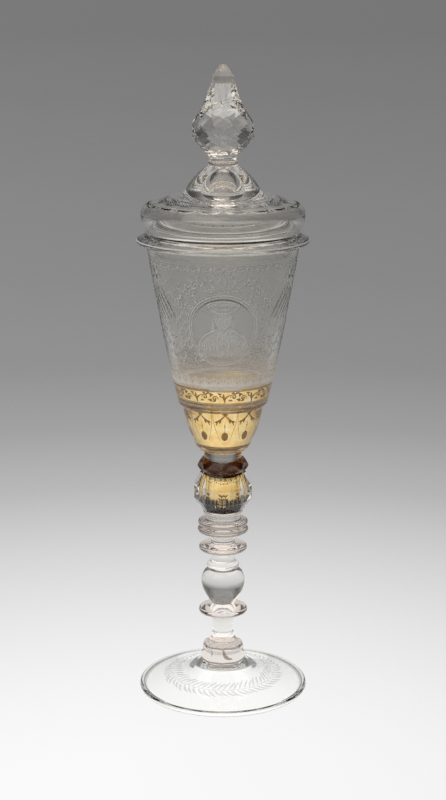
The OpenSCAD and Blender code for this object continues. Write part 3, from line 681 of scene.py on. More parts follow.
z0, tipZ = levels("finial")
dropZ = z0 + finial["neckHeight"]
budZ = dropZ + finial["height"]
neck = [(0, z0)] + bow((finial["neck"], z0), (finial["lowR"], dropZ), -finial["cove"], 14) + [(0, dropZ)]
drop = turn("finialGlass", neck, 96)
rows = [(r, dropZ + rise) for rise, r in finial["rows"]]
cone = turn("finialDrop", [(0, rows[0][1])] + rows + [(0, rows[-1][1])], finial["cuts"], 1)
for vertex in cone.data.vertices:               # every second row stands half a facet round
    row = min(range(len(rows)), key=lambda k: abs(rows[k][1] - vertex.co.z / mm))
    if row % 2:
        vertex.co.rotate(Euler((0, 0, pi / finial["cuts"])))
openMesh()
bpy.ops.mesh.quads_convert_to_tris(quad_method="SHORTEST_DIAGONAL")
closeMesh()
budLow = budZ - finial["weld"]
budH = tipZ - budLow
blank = turn("finialBud", [(0, budLow), (bud["blank"], budLow), (bud["blank"], tipZ), (0, tipZ)], 48)
shoulderD = bud["low"] * (1 + bud["shoulder"])
for across, end in ((bud["low"], bud["low"] * bud["draw"]), (shoulderD, bud["top"])):
    cutFacets(blank, across, budLow, (end - across) / budH, bud["count"])
for helper in (cone, blank):
    combine(drop, helper, "UNION")
breakEdges(drop, finial["arris"], finial["sharp"], finial["smooth"])
settle(drop, "finial", cutGlass, "cover")
fuse(drop, (z0, finial["neck"]))
finishWhere(drop, wornGlass, lambda reach, z, outward, up: z > budZ + bud["wornFrom"])
print("finial cut")


# ornament: flat drawings in mm, x to the right and y up, made of tapered strips and wrapped on the glass
def smoothLine(points, n=5):
    line = []
    for i in range(len(points) - 1):
        p0, p1, p2, p3 = points[max(i - 1, 0)], points[i], points[i + 1], points[min(i + 2, len(points) - 1)]
        for k in range(n):
            t = k / n
            line.append(tuple(0.5 * (2 * p1[j] + (p2[j] - p0[j]) * t
                                     + (2 * p0[j] - 5 * p1[j] + 4 * p2[j] - p3[j]) * t * t
                                     + (3 * p1[j] - p0[j] - 3 * p2[j] + p3[j]) * t ** 3) for j in (0, 1)))
    return line + [tuple(points[-1])]


# a line once round the piece at one height, x measured on a radius
def roundLine(radius, z, n=120):
    return [(2 * pi * radius * i / n, z) for i in range(n + 1)]


# a line drawn with one stroke of the wheel: width at its start, middle and end
def stroke(drawing, points, start, middle=None, end=None):
    middle = start if middle is None else middle
    end = middle if end is None else end
    left, right = [], []
    for i, p in enumerate(points):
        a, b = points[max(i - 1, 0)], points[min(i + 1, len(points) - 1)]
        length = hypot(b[0] - a[0], b[1] - a[1]) or 1
        t = i / (len(points) - 1)
        w = (start + (middle - start) * 2 * t if t < 0.5 else middle + (end - middle) * (2 * t - 1)) / 2
        nx, ny = -(b[1] - a[1]) / length * w, (b[0] - a[0]) / length * w
        left.append((p[0] + nx, p[1] + ny))
        right.append((p[0] - nx, p[1] - ny))
    drawing.append((left, right))


# a curved stroke through a few points
def sweepStroke(drawing, points, widths, n=5):
    stroke(drawing, smoothLine(points, n), *widths)


def leafStroke(drawing, x, y, angle, length, width, bend=0.0, n=8):
    a = radians(angle)
    left, right = [], []
    for i in range(n + 1):
        t = i / n
        along, across = length * t, bend * length * sin(pi * t)
        px, py = x + along * cos(a) - across * sin(a), y + along * sin(a) + across * cos(a)
        w = width / 2 * sin(pi * min(0.97, 0.04 + t * 0.96)) ** 0.8     # blunt at its foot, drawn out at its tip
        left.append((px - w * sin(a), py + w * cos(a)))
        right.append((px + w * sin(a), py - w * cos(a)))
    drawing.append((left, right))


def disc(drawing, x, y, rx, ry=None, n=10):
    ry, least = ry or rx, 0.004                 # its ends are never quite a point
    rows = [(-cos(pi * i / n) * ry, max(sin(pi * i / n) * rx, least)) for i in range(n + 1)]
    drawing.append(([(x - w, y + h) for h, w in rows], [(x + w, y + h) for h, w in rows]))


# a C-scroll that winds in from its start; hand is 1 or -1
def scroll(drawing, x, y, angle, size, hand, width, turns=1.4, n=26):
    points = []
    for i in range(n + 1):
        t = i / n
        r = size * (1 - 0.8 * t)
        a = radians(angle) + hand * 2 * pi * turns * t
        points.append((x + r * cos(a), y + r * sin(a)))
    stroke(drawing, points, width * 0.6, width * 1.3, width)
    disc(drawing, points[-1][0], points[-1][1], width * 0.9)


def flipped(drawing):
    return [([(-x, y) for x, y in right], [(-x, y) for x, y in left]) for left, right in drawing]


def shifted(drawing, dx, dy=0.0):
    return [([(x + dx, y + dy) for x, y in left], [(x + dx, y + dy) for x, y in right]) for left, right in drawing]


# wraps a drawing on a surface; place gives the point in mm for x, y and a lift off the surface
def wrapDrawing(name, drawing, place, material, lift=0.03):
    thick, bendWidth = 0.02, 0.7                # in mm; what is wider than the second bends with the glass
    points, faces = [], []
    for left, right in drawing:
        first = len(points)
        across = 2 + int(max(hypot(b[0] - a[0], b[1] - a[1]) for a, b in zip(left, right)) / bendWidth)
        for a, b in zip(left, right):
            for k in range(across):
                t = k / (across - 1)
                points.append(Vector(place(a[0] + (b[0] - a[0]) * t, a[1] + (b[1] - a[1]) * t, lift)) * mm)
        for i in range(len(left) - 1):
            for k in range(across - 1):
                corner = first + i * across + k
                faces.append((corner, corner + 1, corner + across + 1, corner + across))
    mesh = bpy.data.meshes.new(name)
    mesh.from_pydata(points, [], faces)
    piece = bpy.data.objects.new(name, mesh)
    bpy.context.scene.collection.objects.link(piece)
    pick(piece)
    applyModifier(piece, "SOLIDIFY", thickness=thick * mm, offset=0)
    openMesh()
    closeMesh()
    settle(piece, None, material)
    piece.visible_shadow = False


# puts a drawing round a turned face given by an outline; x is measured on a radius
def wrapRound(face, radius):
    def place(x, y, lift):
        y = min(max(y, face[0][1]), face[-1][1])
        r, a = radiusAt(face, y) + lift, x / radius
        return r * sin(a), -r * cos(a), y
    return place


# points moved k steps on, each by a step of its own
def stepped(points, steps, k=1):
    return [(x + dx * k, y + dy * k) for (x, y), (dx, dy) in zip(points, steps)]


def mirrored(points, side):
    return [(side * x, y) for x, y in points]


# leaf k of a strewn row, by start and step; heights and angles come round again after a few leaves
def strewLeaf(drawing, k, x, z, angle, leaf):
    leafStroke(drawing, x[0] + x[1] * k, z[0] + z[1] * (k % z[2]), angle[0] + angle[1] * (k % angle[2]), *leaf)


# wheel-engraved bowl; x runs round from the front on this radius, heights are from the ground
engraving = {"radius": 30.0, "lift": 0.1, "shadeLift": 0.04, "shade": (0.16, -0.14), "fineShade": (0.2, -0.18)}
around = 2 * pi * engraving["radius"]
bowlPlace = wrapRound(bowlOuter, engraving["radius"])


def engrave(name, drawing, finish, lift=engraving["lift"]):
    wrapDrawing(name, drawing, bowlPlace, finish, lift)


# hanging border under the lip, and the lines that part the bowl
swags = {"count": 40, "z": 219.6, "deep": 2.2, "line": (0.25, 0.55, 0.25), "innerZ": 219.9, "innerShare": 2.6,
         "innerDeep": 1.1, "innerLine": (0.15, 0.3, 0.15), "leafZ": 219.5, "leaf": (2.9, 0.9), "beadZ": 216.5,
         "bead": 0.28, "rings": ((220.1, 0.3), (169.3, 0.28), (168.1, 0.16), (160.0, 0.2))}
art = []
pitch = around / swags["count"]
for i in range(swags["count"]):
    x = i * pitch
    middle = x + pitch / 2
    stroke(art, oval((middle, swags["z"]), pitch / 2, swags["deep"], 180, 360, 12), *swags["line"])
    inner = oval((middle, swags["innerZ"]), pitch / swags["innerShare"], swags["innerDeep"], 180, 360, 8)
    stroke(art, inner, *swags["innerLine"])
    leafStroke(art, x, swags["leafZ"], -90, *swags["leaf"])
    disc(art, middle, swags["beadZ"], swags["bead"])
for z, width in swags["rings"]:
    stroke(art, roundLine(engraving["radius"], z), width)

# leaf and bead border above the gold
fans = {"count": 36, "z": 161.0, "leaves": ((90, 4.2), (52, 3.4), (128, 3.4), (20, 2.4), (160, 2.4)),
        "leafWidth": 0.95, "beadZ": 161.6, "bead": 0.4, "archZ": 165.8, "archShare": 2.2, "arch": 1.8,
        "line": (0.2, 0.4, 0.2)}
border = []
pitch = around / fans["count"]
for i in range(fans["count"]):
    x = i * pitch
    middle = x + pitch / 2
    for angle, length in fans["leaves"]:
        leafStroke(border, x, fans["z"], angle, length, fans["leafWidth"])
    disc(border, middle, fans["beadZ"], fans["bead"])
    arch = oval((middle, fans["archZ"]), pitch / fans["archShare"], fans["arch"], 180, 360, 10)
    stroke(border, arch, *fans["line"])
engrave("bowlBorder", border, borderCut)

# one half of the front, drawn on the right and flipped: first the crown, rays of (place, height) on a curved band
crownArt = {"z": 207.6, "rays": ((0.0, 7.8), (3.6, 6.9), (7.0, 5.4)), "rayLine": (0.4, 0.6, 0.3), "rayFoot": 1.4,
            "bead": 0.5, "gem": 0.32, "gemOff": 0.6, "bands": ((0.0, 0.45), (1.3, 0.3)), "bandStep": 0.6,
            "bandRise": 0.01}
front = []
baseZ = crownArt["z"]
for x, h in crownArt["rays"]:                   # an S-curve that leans in at its foot and tip
    ray = [(x * 0.8, baseZ + crownArt["rayFoot"]), (x + 1.4, baseZ + h * 0.55), (x + 0.7, baseZ + h * 0.9),
           (x * 0.55, baseZ + h)]
    sweepStroke(front, ray, crownArt["rayLine"])
    disc(front, x, baseZ + h + crownArt["bead"], crownArt["bead"])
    disc(front, x + crownArt["gemOff"], baseZ + crownArt["gemOff"], crownArt["gem"])
for rise, width in crownArt["bands"]:
    xs = [crownArt["bandStep"] * i for i in range(15)]
    stroke(front, [(x, baseZ + rise + crownArt["bandRise"] * x * x) for x in xs], width)

# scrolls with leaves, as (x, height, start angle, size, hand)
scrolls = {"at": ((11.6, 210.6, 200, 2.6, -1), (15.4, 206.8, 160, 2.8, 1), (20.2, 200.6, 120, 3.0, -1),
                  (20.6, 181.0, 80, 3.2, 1), (21.4, 173.6, 250, 2.6, -1), (13.6, 172.2, 60, 2.4, 1)),
           "line": 0.55, "leaf": (2.8, 0.9), "leafStep": 1.1, "leafOut": 0.8, "leafTurn": 35, "leafBend": 0.12}
for x, z, angle, size, hand in scrolls["at"]:
    scroll(front, x, z, angle, size, hand, scrolls["line"])
    out = size * scrolls["leafOut"]
    for j in range(4):
        a = j * scrolls["leafStep"]
        leafStroke(front, x + out * cos(a), z + out * sin(a), degrees(a) + scrolls["leafTurn"] * hand,
                   *scrolls["leaf"], scrolls["leafBend"] * hand)

# laurel beside the medallion
medallion = {"z": 188.9, "r": 16.2, "tall": 1.06, "rings": ((0.0, 0.5), (-1.1, 0.28), (0.9, 0.2)), "shade": 1.9,
             "shadeLine": (0.1, 0.6, 0.1), "laurel": 1.9, "pairs": 9, "from": -58, "step": 13,
             "leaves": ((62, 2.8, 0.9, 0.1), (128, 2.2, 0.8, -0.1))}
r = medallion["r"] + medallion["laurel"]
for k in range(medallion["pairs"]):
    a = medallion["from"] + k * medallion["step"]
    for lean, length, width, bend in medallion["leaves"]:
        leafStroke(front, r * cos(radians(a)), medallion["z"] + r * sin(radians(a)), a + lean, length, width, bend)

# trophy of spears, banners and a drum
trophy = {"spears": 6, "x": 24.5, "shadeX": 23.6, "gap": 2.7, "z": 193.6, "run": 8.0, "rise": 14.4, "drop": 0.5,
          "line": (0.22, 0.4, 0.22), "shadeLine": (0.3, 0.75, 0.3), "tip": (61, 2.3, 0.9),
          "banners": 5, "banner": ((35.5, 206.2), (39.0, 207.4), (42.6, 205.4), (46.2, 206.4)),
          "bannerStep": ((0.6, -1.7), (0, -1.7), (0, -1.7), (0, -1.8)), "bannerLine": (0.25, 0.55, 0.2),
          "drum": (31.5, 190.4), "hoops": ((3.4, 2.6, 20, 0.35), (2.3, 1.7, 16, 0.25)),
          "cords": 6, "cord": ((29.4, 188.2), (29.8, 192.6)), "cordStep": ((0.85, 0), (0.85, 0)), "cordLine": 0.16}


def spear(x, k):
    shares = [t / 8 for t in range(9)]
    return [(x + trophy["run"] * t, trophy["z"] + trophy["rise"] * t - trophy["drop"] * k) for t in shares]


for k in range(trophy["spears"]):
    shaft = spear(trophy["x"] + trophy["gap"] * k, k)
    stroke(front, shaft, *trophy["line"])
    leafStroke(front, *shaft[-1], *trophy["tip"])
for k in range(trophy["banners"]):
    sweepStroke(front, stepped(trophy["banner"], trophy["bannerStep"], k), trophy["bannerLine"], 4)
for rx, ry, n, width in trophy["hoops"]:
    stroke(front, oval(trophy["drum"], rx, ry, 0, 360, n), width)
for k in range(trophy["cords"]):
    stroke(front, stepped(trophy["cord"], trophy["cordStep"], k), trophy["cordLine"])

# sprays at the side and tassels under the border
sprays = {"x": (27.0, 2.1), "z": (174.0, 3.4, 4), "angle": (35, 17, 5), "leaf": (3.2, 0.8, 0.12)}
tassels = {"x": (34.0, 2.1), "z": (210.0, 2.0, 3), "angle": (60, 40, 4), "leaf": (3.0, 1.0, -0.12)}
for k in range(8):
    strewLeaf(front, k, **sprays)
for k in range(6):
    strewLeaf(front, k, **tassels)
art += front + flipped(front)

# painted shade: dark strokes where cuts stand in their own shade
tasselShade = {"x": (33.0, 2.1), "z": (211.0, 2.0, 3), "angle": (30, 40, 4), "leaf": (3.2, 1.1, 0.12)}
sprayShade = {"x": (26.4, 3.1), "z": (173.0, 5.2, 1.3), "angle": (50, 47), "leaf": (2.6, 0.4, 0.1)}
drapery = {"fold": ((40.0, 192.0), (42.0, 190.0), (43.5, 186.5)), "foldStep": ((0.8, -3.4), (0.6, -3.4), (0.6, -3.4)),
           "line": (0.2, 0.6, 0.2), "lift": 0.06}
deep = []
for k in range(trophy["spears"]):
    stroke(deep, spear(trophy["shadeX"] + trophy["gap"] * k, k), *trophy["shadeLine"])
for k in range(6):
    strewLeaf(deep, k, **tasselShade)
    x = sprayShade["x"][0] + sprayShade["x"][1] * k
    z, rise, wave = sprayShade["z"]
    for j in range(3):
        angle = sprayShade["angle"][0] + sprayShade["angle"][1] * ((k + j) % 4)
        leafStroke(deep, x, z + rise * j + wave * (k % 3), angle, *sprayShade["leaf"])
    sweepStroke(deep, stepped(drapery["fold"], drapery["foldStep"], k), drapery["line"], 4)
r = medallion["r"] - medallion["shade"]
stroke(deep, oval((0, medallion["z"]), r, r * medallion["tall"], 35, 145, 24), *medallion["shadeLine"])
engrave("bowlDeepCutShade", deep + flipped(deep), deepCutShade, drapery["lift"])

# medallion and bust in lines about the medallion's centre; eyes, curls and coat are drawn on both sides
bust = {"hat": [(-7.0, 12.4), (-4.6, 13.6), (0.2, 14.2), (4.8, 13.5), (7.0, 12.2), (4.6, 9.6), (2.6, 8.6), (0, 8.3),
                (-2.6, 8.7), (-4.8, 9.9), (-7.0, 12.4)], "hatLine": 0.4,
        "brim": [(-5.4, 12.2), (-2.6, 10.6), (0, 10.2), (2.6, 10.5), (5.4, 12.0)], "brimLine": (0.2, 0.5, 0.2),
        "head": (0, 4.9), "cheek": (3.1, 4.1), "cheekLine": 0.34, "pupil": (4.9, 0.24, 0.2), "pupilX": 1.25,
        "eyes": (([(0.6, 5.5), (1.25, 5.85), (1.95, 5.5)], (0.14, 0.3, 0.14)),
                 ([(0.7, 4.95), (1.25, 5.2), (1.8, 4.95)], (0.12, 0.24, 0.12))),
        "curls": 5, "curl": (3.9, 6.9), "curlStep": (0.22, -1.75), "curlSize": 1.05, "curlLine": 0.26,
        "coat": (([(1.6, 0.9), (6.0, -0.9), (10.2, -4.0), (12.6, -8.6)], (0.35, 0.5, 0.35)),
                 ([(1.3, -0.2), (2.6, -4.6), (2.2, -12.8)], (0.25, 0.4, 0.25))),
        "folds": 6, "fold": ((3.6, -2.2), (4.6, -6.0), (4.2, -12.2)),
        "foldStep": ((1.3, -0.9), (1.1, -0.5), (1.0, 0.4)), "foldLine": (0.15, 0.34, 0.12),
        "nose": ([(0.25, 4.9), (0.5, 3.9), (-0.1, 3.65)], (0.14, 0.22, 0.16)),
        "lips": (([(-0.85, 2.55), (0, 2.7), (0.85, 2.55)], (0.12, 0.26, 0.12)),
                 ([(-0.5, 2.15), (0, 2.05), (0.5, 2.15)], (0.1, 0.16, 0.1))),
        "buttons": 5, "button": 0.36, "buttonZ": -2.0, "buttonGap": 2.3,
        "frill": ((-1.4, -0.6), (0, -1.3), (1.4, -0.6)), "frillStep": ((0, -0.5),) * 3, "frillLine": (0.2,)}
medal = []
for grow, width in medallion["rings"]:
    r = medallion["r"] + grow
    stroke(medal, oval((0, 0), r, r * medallion["tall"], 0, 360, 72), width)
stroke(medal, smoothLine(bust["hat"]), bust["hatLine"])
sweepStroke(medal, bust["brim"], bust["brimLine"])
stroke(medal, oval(bust["head"], *bust["cheek"], 150, 390, 26), bust["cheekLine"])
for side in (-1, 1):
    for points, line in bust["eyes"]:
        sweepStroke(medal, mirrored(points, side), line, 4)
    disc(medal, side * bust["pupilX"], *bust["pupil"])
    for k in range(bust["curls"]):
        (x, y), = mirrored(stepped([bust["curl"]], [bust["curlStep"]], k), side)
        scroll(medal, x, y, 90, bust["curlSize"], side, bust["curlLine"], 1.1, 14)
    for points, line in bust["coat"]:
        sweepStroke(medal, mirrored(points, side), line)
    for k in range(bust["folds"]):
        sweepStroke(medal, mirrored(stepped(bust["fold"], bust["foldStep"], k), side), bust["foldLine"], 4)
for points, line in (bust["nose"],) + bust["lips"]:
    sweepStroke(medal, points, line, 4)
for k in range(bust["buttons"]):
    disc(medal, 0, bust["buttonZ"] - bust["buttonGap"] * k, bust["button"])
    sweepStroke(medal, stepped(bust["frill"], bust["frillStep"], k), bust["frillLine"], 4)
shadeX, shadeY = engraving["fineShade"]
engrave("bowlPortrait", shifted(medal, 0, medallion["z"]), portraitCut)
# painted shade: the bust's lines again, dark and shifted down and to the right
engrave("bowlPortraitShade", shifted(medal, shadeX, medallion["z"] + shadeY), faintShade, engraving["shadeLift"])

# head, hat and coat as areas in nine rows; a side of the hat is (x, height, slope, bow)
areas = {"head": (3.2, 4.3), "hat": ((-6.6, 13.1, 0, 0.2), (4.6, 13.4, 0.15, 0.05)), "hatStep": 0.25,
         "coatTop": 0.4, "coatStep": 1.7, "coatHalf": (2.2, 10.6), "lift": 0.06}
matte = []
disc(matte, *bust["head"], *areas["head"], 14)
matte.append([[(x + areas["hatStep"] * i, z - slope * i - bend * abs(i - 4)) for i in range(9)]
              for x, z, slope, bend in areas["hat"]])
neckHalf, spread = areas["coatHalf"]
rows = [(neckHalf + spread * sin(min(1, i / 6) * pi / 2), areas["coatTop"] - areas["coatStep"] * i) for i in range(9)]
matte.append((mirrored(rows, -1), rows))
engrave("bowlMatteAreas", shifted(matte, 0, medallion["z"]), matteGlass, areas["lift"])

# frosted bands over the gold, tinted with painted warm light from the leaf and fading up: heights and how much each
# part hides
leafGlowBands = {"heights": (159.2, 162.2, 165.2, 168.2, 171.2, 174.4), "cover": (0.4, 0.3, 0.21, 0.14, 0.07),
        "tones": ("#EFE2D0", "#FFF6E8"), "lift": 0.03}
for k, hidden in enumerate(leafGlowBands["cover"]):
    strip = [roundLine(engraving["radius"], z, 160) for z in leafGlowBands["heights"][k:k + 2]]
    finish = makeGroundGlass("paintedLeafGlow%d" % (k + 1), *leafGlowBands["tones"], hidden)
    engrave("bowlLeafGlow%d" % (k + 1), [strip], finish, leafGlowBands["lift"])

# small leaves strewn unevenly between the large ornament; x, z and length are (start, spread)
fill = {"count": 170, "strew": (0.618, 0.755, 0.381, 0.53), "x": (16.5, 29), "z": (171.0, 42), "clear": 2.6,
        "length": (1.8, 1.4), "width": 0.5, "bend": 0.15, "lift": 0.08}
sprigs = []
for k in range(fill["count"]):
    across, up, turned, grown = [k * share % 1 for share in fill["strew"]]
    x, z = fill["x"][0] + fill["x"][1] * across, fill["z"][0] + fill["z"][1] * up
    length = fill["length"][0] + fill["length"][1] * grown
    if hypot(x, z - medallion["z"]) > medallion["r"] + fill["clear"]:
        leafStroke(sprigs, x, z, 360 * turned, length, fill["width"], fill["bend"] if k % 2 else -fill["bend"])
sprigs += flipped(sprigs)
engrave("bowlLeaves", sprigs, fineCut, fill["lift"])
# painted shade: the small leaves again, dark and shifted down and to the right
engrave("bowlLeavesShade", shifted(sprigs, *engraving["fineShade"]), faintShade, engraving["shadeLift"])

# flowers tied with a bow, on the back
bouquet = {"stems": 11, "spread": 3.1, "foot": 174, "bend": (0.4, 184), "top": 196, "fall": 1.5,
           "line": (0.2, 0.34, 0.2), "petal": (2.6, 1.2), "eye": 0.6, "leafAt": (0.6, 187), "leaf": (4.2, 1.3, 0.1),
           "loop": [(0, 176), (4, 179), (6.5, 176.5), (3, 174.6), (0, 176)],
           "ribbon": [(0, 176), (2, 172.5), (4.5, 171.2)], "bowLine": (0.4,)}
spray = []
for k in range(bouquet["stems"]):
    across = k - bouquet["stems"] // 2
    lean, topZ = across * bouquet["spread"], bouquet["top"] - abs(across) * bouquet["fall"]
    share, bendZ = bouquet["bend"]
    sweepStroke(spray, [(0, bouquet["foot"]), (lean * share, bendZ), (lean, topZ)], bouquet["line"])
    for j in range(6):
        leafStroke(spray, lean, topZ, 60 * j + 12 * k, *bouquet["petal"])
    disc(spray, lean, topZ, bouquet["eye"])
    share, leafZ = bouquet["leafAt"]
    leafStroke(spray, lean * share, leafZ, 60 + 8 * k, *bouquet["leaf"])
for side in (-1, 1):
    for points in (bouquet["loop"], bouquet["ribbon"]):
        sweepStroke(spray, mirrored(points, side), bouquet["bowLine"])
engrave("bowlSpray", shifted(spray, around / 2), matteGlass)
engrave("bowlEngraving", art, groundGlass)
# painted shade: the cuts again in dark grey, shifted down and to the right
engrave("bowlEngravingShade", shifted(art, *engraving["shade"]), shadeCut, engraving["shadeLift"])
print("bowl engraved", len(art), "strokes")

# laurel wreath on the foot: x is the way round at the stem's radius, y the radius; the sines make it uneven
wreath = {"radius": 25.6, "pairs": 58, "leaf": 6.6, "width": 1.15, "lean": 44, "stemLine": 0.3, "stemWave": 0.12,
          "off": 0.3, "sway": 4, "vary": 0.5, "outer": 0.9, "bend": 0.08}
laurel = []
span = 2 * pi * wreath["radius"] / wreath["pairs"]
ground = roundLine(wreath["radius"], wreath["radius"], 180)
stroke(laurel, [(x, y + wreath["stemWave"] * sin(i * 0.7)) for i, (x, y) in enumerate(ground)], wreath["stemLine"])
for i in range(wreath["pairs"]):
    x = i * span
    leafStroke(laurel, x, wreath["radius"] - wreath["off"], -wreath["lean"] + wreath["sway"] * sin(i * 1.7),
               wreath["leaf"] + wreath["vary"] * sin(i * 2.3), wreath["width"], -wreath["bend"])
    leafStroke(laurel, x + span / 2, wreath["radius"] + wreath["off"], wreath["lean"] + wreath["sway"] * sin(i * 2.1),
               wreath["leaf"] * wreath["outer"] + wreath["vary"] * sin(i * 1.3), wreath["width"], wreath["bend"])
footRise = [(z, r) for r, z in footUpper]       # the foot's upper outline read the other way, height at a radius


def footPlace(x, y, lift):
    a = x / wreath["radius"]
    return y * sin(a), -y * cos(a), radiusAt(footRise, y) + lift


# the wreath is drawn in painted shade
wrapDrawing("footWreath", laurel, footPlace, wreathSlopeShade)

# painted shade in the folds left in the base knob by the tools, as rings and as marks of (x, rise)
folds = {"radius": 10.2, "rings": (0.7, 7.9), "ringLine": 0.9, "wave": 0.12, "lift": 0.04,
         "marks": (([(0.2, 7.4), (0.7, 5.2), (2.2, 3.4), (4.6, 2.8)], (0.8, 1.9, 0.5)),
                   ([(-6.2, 6.6), (-5.6, 5.2), (-5.8, 3.8)], (0.3, 0.6, 0.2)))}
z0 = levels("base_knob")[0]
foldShade = []
for rise in folds["rings"]:
    ground = roundLine(folds["radius"], z0 + rise)
    stroke(foldShade, [(x, z + folds["wave"] * sin(i * 0.4)) for i, (x, z) in enumerate(ground)], folds["ringLine"])
for points, line in folds["marks"]:
    sweepStroke(foldShade, [(x, z0 + rise) for x, rise in points], line)
wrapDrawing("baseKnobFoldShade", foldShade, wrapRound(knobSide, folds["radius"]), gatherShade, folds["lift"])

# scroll frieze drawn with a needle in the leaf and backed with brown; a stem is (root, points, line),
# other places are (share of a repeat, rise from the middle)
frieze = {"repeats": 10, "turn": 0.9, "edges": ((-0.3, 0.4), (0.3, 0.3)),
          "stems": ((0.6, ((0.1, -0.6), (1.2, 0.6), (3.0, 1.6)), (0.4, 0.8, 0.2)),
                    (0.8, ((-0.8, 0), (-2.0, 0.4)), (0.3, 0.7, 0.2))),
          "budOff": 0.2, "bud": (100, 2.3, 0.9, 0.1),
          "curls": ((0.3, 0.3, 200, -1), (-0.34, -0.4, -20, 1)), "curl": 1.5, "curlLine": 0.5,
          "leaves": ((0.34, 1.6, 20, 2.4), (0.4, -0.8, -35, 2.2), (0.62, 1.4, 150, 2.3), (0.7, -0.7, 215, 2.2),
                     (0.5, 0.3, 60, 2.0), (0.47, 2.2, -60, 1.8), (0.56, -1.9, 110, 1.7), (0.12, -1.7, 5, 2.1),
                     (-0.1, 2.0, 170, 2.1), (0.22, 2.3, -15, 1.8)),
          "leafWidth": 0.95, "leafBend": 0.14, "berries": ((0.5, -1.5, 0.5), (-0.16, 0.9, 0.42))}
(lowR, lowZ), (topR, topZ) = friezeFace
friezeR = (lowR + topR) / 2
unit = 2 * pi * friezeR / frieze["repeats"]
mid = (lowZ + topZ) / 2
vine = []
for i in range(frieze["repeats"]):
    x = i * unit + frieze["turn"]
    for root, points, line in frieze["stems"]:
        sweepStroke(vine, [(x, lowZ + root)] + [(x + out, mid + rise) for out, rise in points], line)
    leafStroke(vine, x - frieze["budOff"], mid - frieze["budOff"], *frieze["bud"])
    for out, rise, angle, hand in frieze["curls"]:
        scroll(vine, x + unit * out, mid + rise, angle, frieze["curl"], hand, frieze["curlLine"], 1.1, 16)
    for out, rise, angle, length in frieze["leaves"]:
        leafStroke(vine, x + unit * out, mid + rise, angle, length, frieze["leafWidth"], frieze["leafBend"])
    for out, rise, size in frieze["berries"]:
        disc(vine, x + unit * out, mid + rise, size)
for z, (inset, width) in zip((topZ, lowZ), frieze["edges"]):
    stroke(vine, roundLine(friezeR, z + inset), width)
wrapDrawing("friezeScrollwork", vine, wrapRound(friezeFace, friezeR), needleBrown)

# cement where frieze and cup step in, with scraps of leaf and a torn edge of it below
seam = {"gap": 0.13, "scraps": 9, "turn": 0.85, "scrap": (2.0, 2.2), "scrapDrop": 0.1, "scrapSway": 25,
        "leafShare": 0.5, "ragged": 0.12, "leafLift": 0.04}
seamFace = [(cupIn(stepLow) - seam["gap"], stepLow), (friezeIn(stepHigh) - seam["gap"], stepHigh)]
seamR = (seamFace[0][0] + seamFace[1][0]) / 2
unit = 2 * pi * seamR / seam["scraps"]
lowLine, highLine = roundLine(seamR, stepLow, 160), roundLine(seamR, stepHigh, 160)
scraps = []
for i in range(seam["scraps"]):
    angle = -90 + seam["scrapSway"] * sin(i * 2.1)
    leafStroke(scraps, unit * (i + 0.5) + seam["turn"], stepHigh - seam["scrapDrop"], angle, *seam["scrap"])
torn = [(x, z + (stepHigh - stepLow) * (seam["leafShare"] + seam["ragged"] * sin(i * 0.9) * sin(i * 0.37)))
        for i, (x, z) in enumerate(lowLine)]
scraps.append((lowLine, torn))
seamPlace = wrapRound(seamFace, seamR)
wrapDrawing("stepCementBand", [(lowLine, highLine)], seamPlace, stepCement, 0.0)
wrapDrawing("stepLeafScraps", scraps, seamPlace, goldLeaf, seam["leafLift"])

# hanging lace of buds and pendants on the cup's leaf; places on the bud are (x, drop from its top)
lace = {"repeats": 9, "budZ": 146.4, "pendantZ": 134.2, "turn": 0.85, "bud": (1.4, 38, 2.0, 0.9),
        "tendril": ((0, 1.2), (1.5, 3.0), (3.2, 4.6), (3.9, 6.4)), "tendrilLine": (0.4, 0.9, 0.25),
        "leaves": ((1.7, 3.4, 18, 2.1, 0.9), (2.8, 4.0, 62, 1.9, 0.8)),
        "hair": ((0, -0.3), (-0.5, -5.5), (-1.3, 3.0), (2.6, -2.2)), "hairLine": (0.12, 0.2, 0.1),
        "swag": ((0, -0.2), (3.6, -0.9), (2.4, -0.2)), "swagLine": (0.2, 0.5, 0.2),
        "heart": (1.6, 90, 2.4, 1.2), "stem": (5.0, 0.55), "stemLine": (0.14, 0.3, 0.14), "bead": (6.8, 0.34),
        "pendant": (1.65, 2.3), "loop": (2.0, 3.2), "loopLine": 0.2}
(lowR, lowZ), (topR, topZ) = cupFace
cupR = (lowR + topR) / 2
unit = 2 * pi * cupR / lace["repeats"]
half, budTop, pendantZ = unit / 2, lace["budZ"], lace["pendantZ"]
hang = []
for side in (-1, 1):
    drop, lean, length, width = lace["bud"]
    leafStroke(hang, 0, budTop - drop, 90 + side * lean, length, width)
    sweepStroke(hang, [(side * x, budTop - drop) for x, drop in lace["tendril"]], lace["tendrilLine"])
    for x, drop, lean, length, width in lace["leaves"]:
        leafStroke(hang, side * x, budTop - drop, -90 + side * lean, length, width)
    hair = stepped([(half, topZ), (half, budTop), (half, pendantZ), (0, pendantZ)], lace["hair"])
    sweepStroke(hang, mirrored(hair, side), lace["hairLine"])
    swag = stepped([(half, topZ), (0, topZ), (0, topZ)], lace["swag"])
    sweepStroke(hang, mirrored(swag, side), lace["swagLine"], 4)
leafStroke(hang, 0, budTop - lace["heart"][0], *lace["heart"][1:])
stroke(hang, [(0, budTop - lace["stem"][0] - lace["stem"][1] * i) for i in range(8)], *lace["stemLine"])
disc(hang, 0, budTop - lace["bead"][0], lace["bead"][1])
disc(hang, 0, pendantZ, *lace["pendant"])
stroke(hang, [(0, pendantZ + rise) for rise in lace["loop"]], lace["loopLine"])
curtain = []
for i in range(lace["repeats"]):
    curtain += shifted(hang, i * unit + lace["turn"])
wrapDrawing("cupLace", curtain, wrapRound(cupFace, cupR), needleBrown)

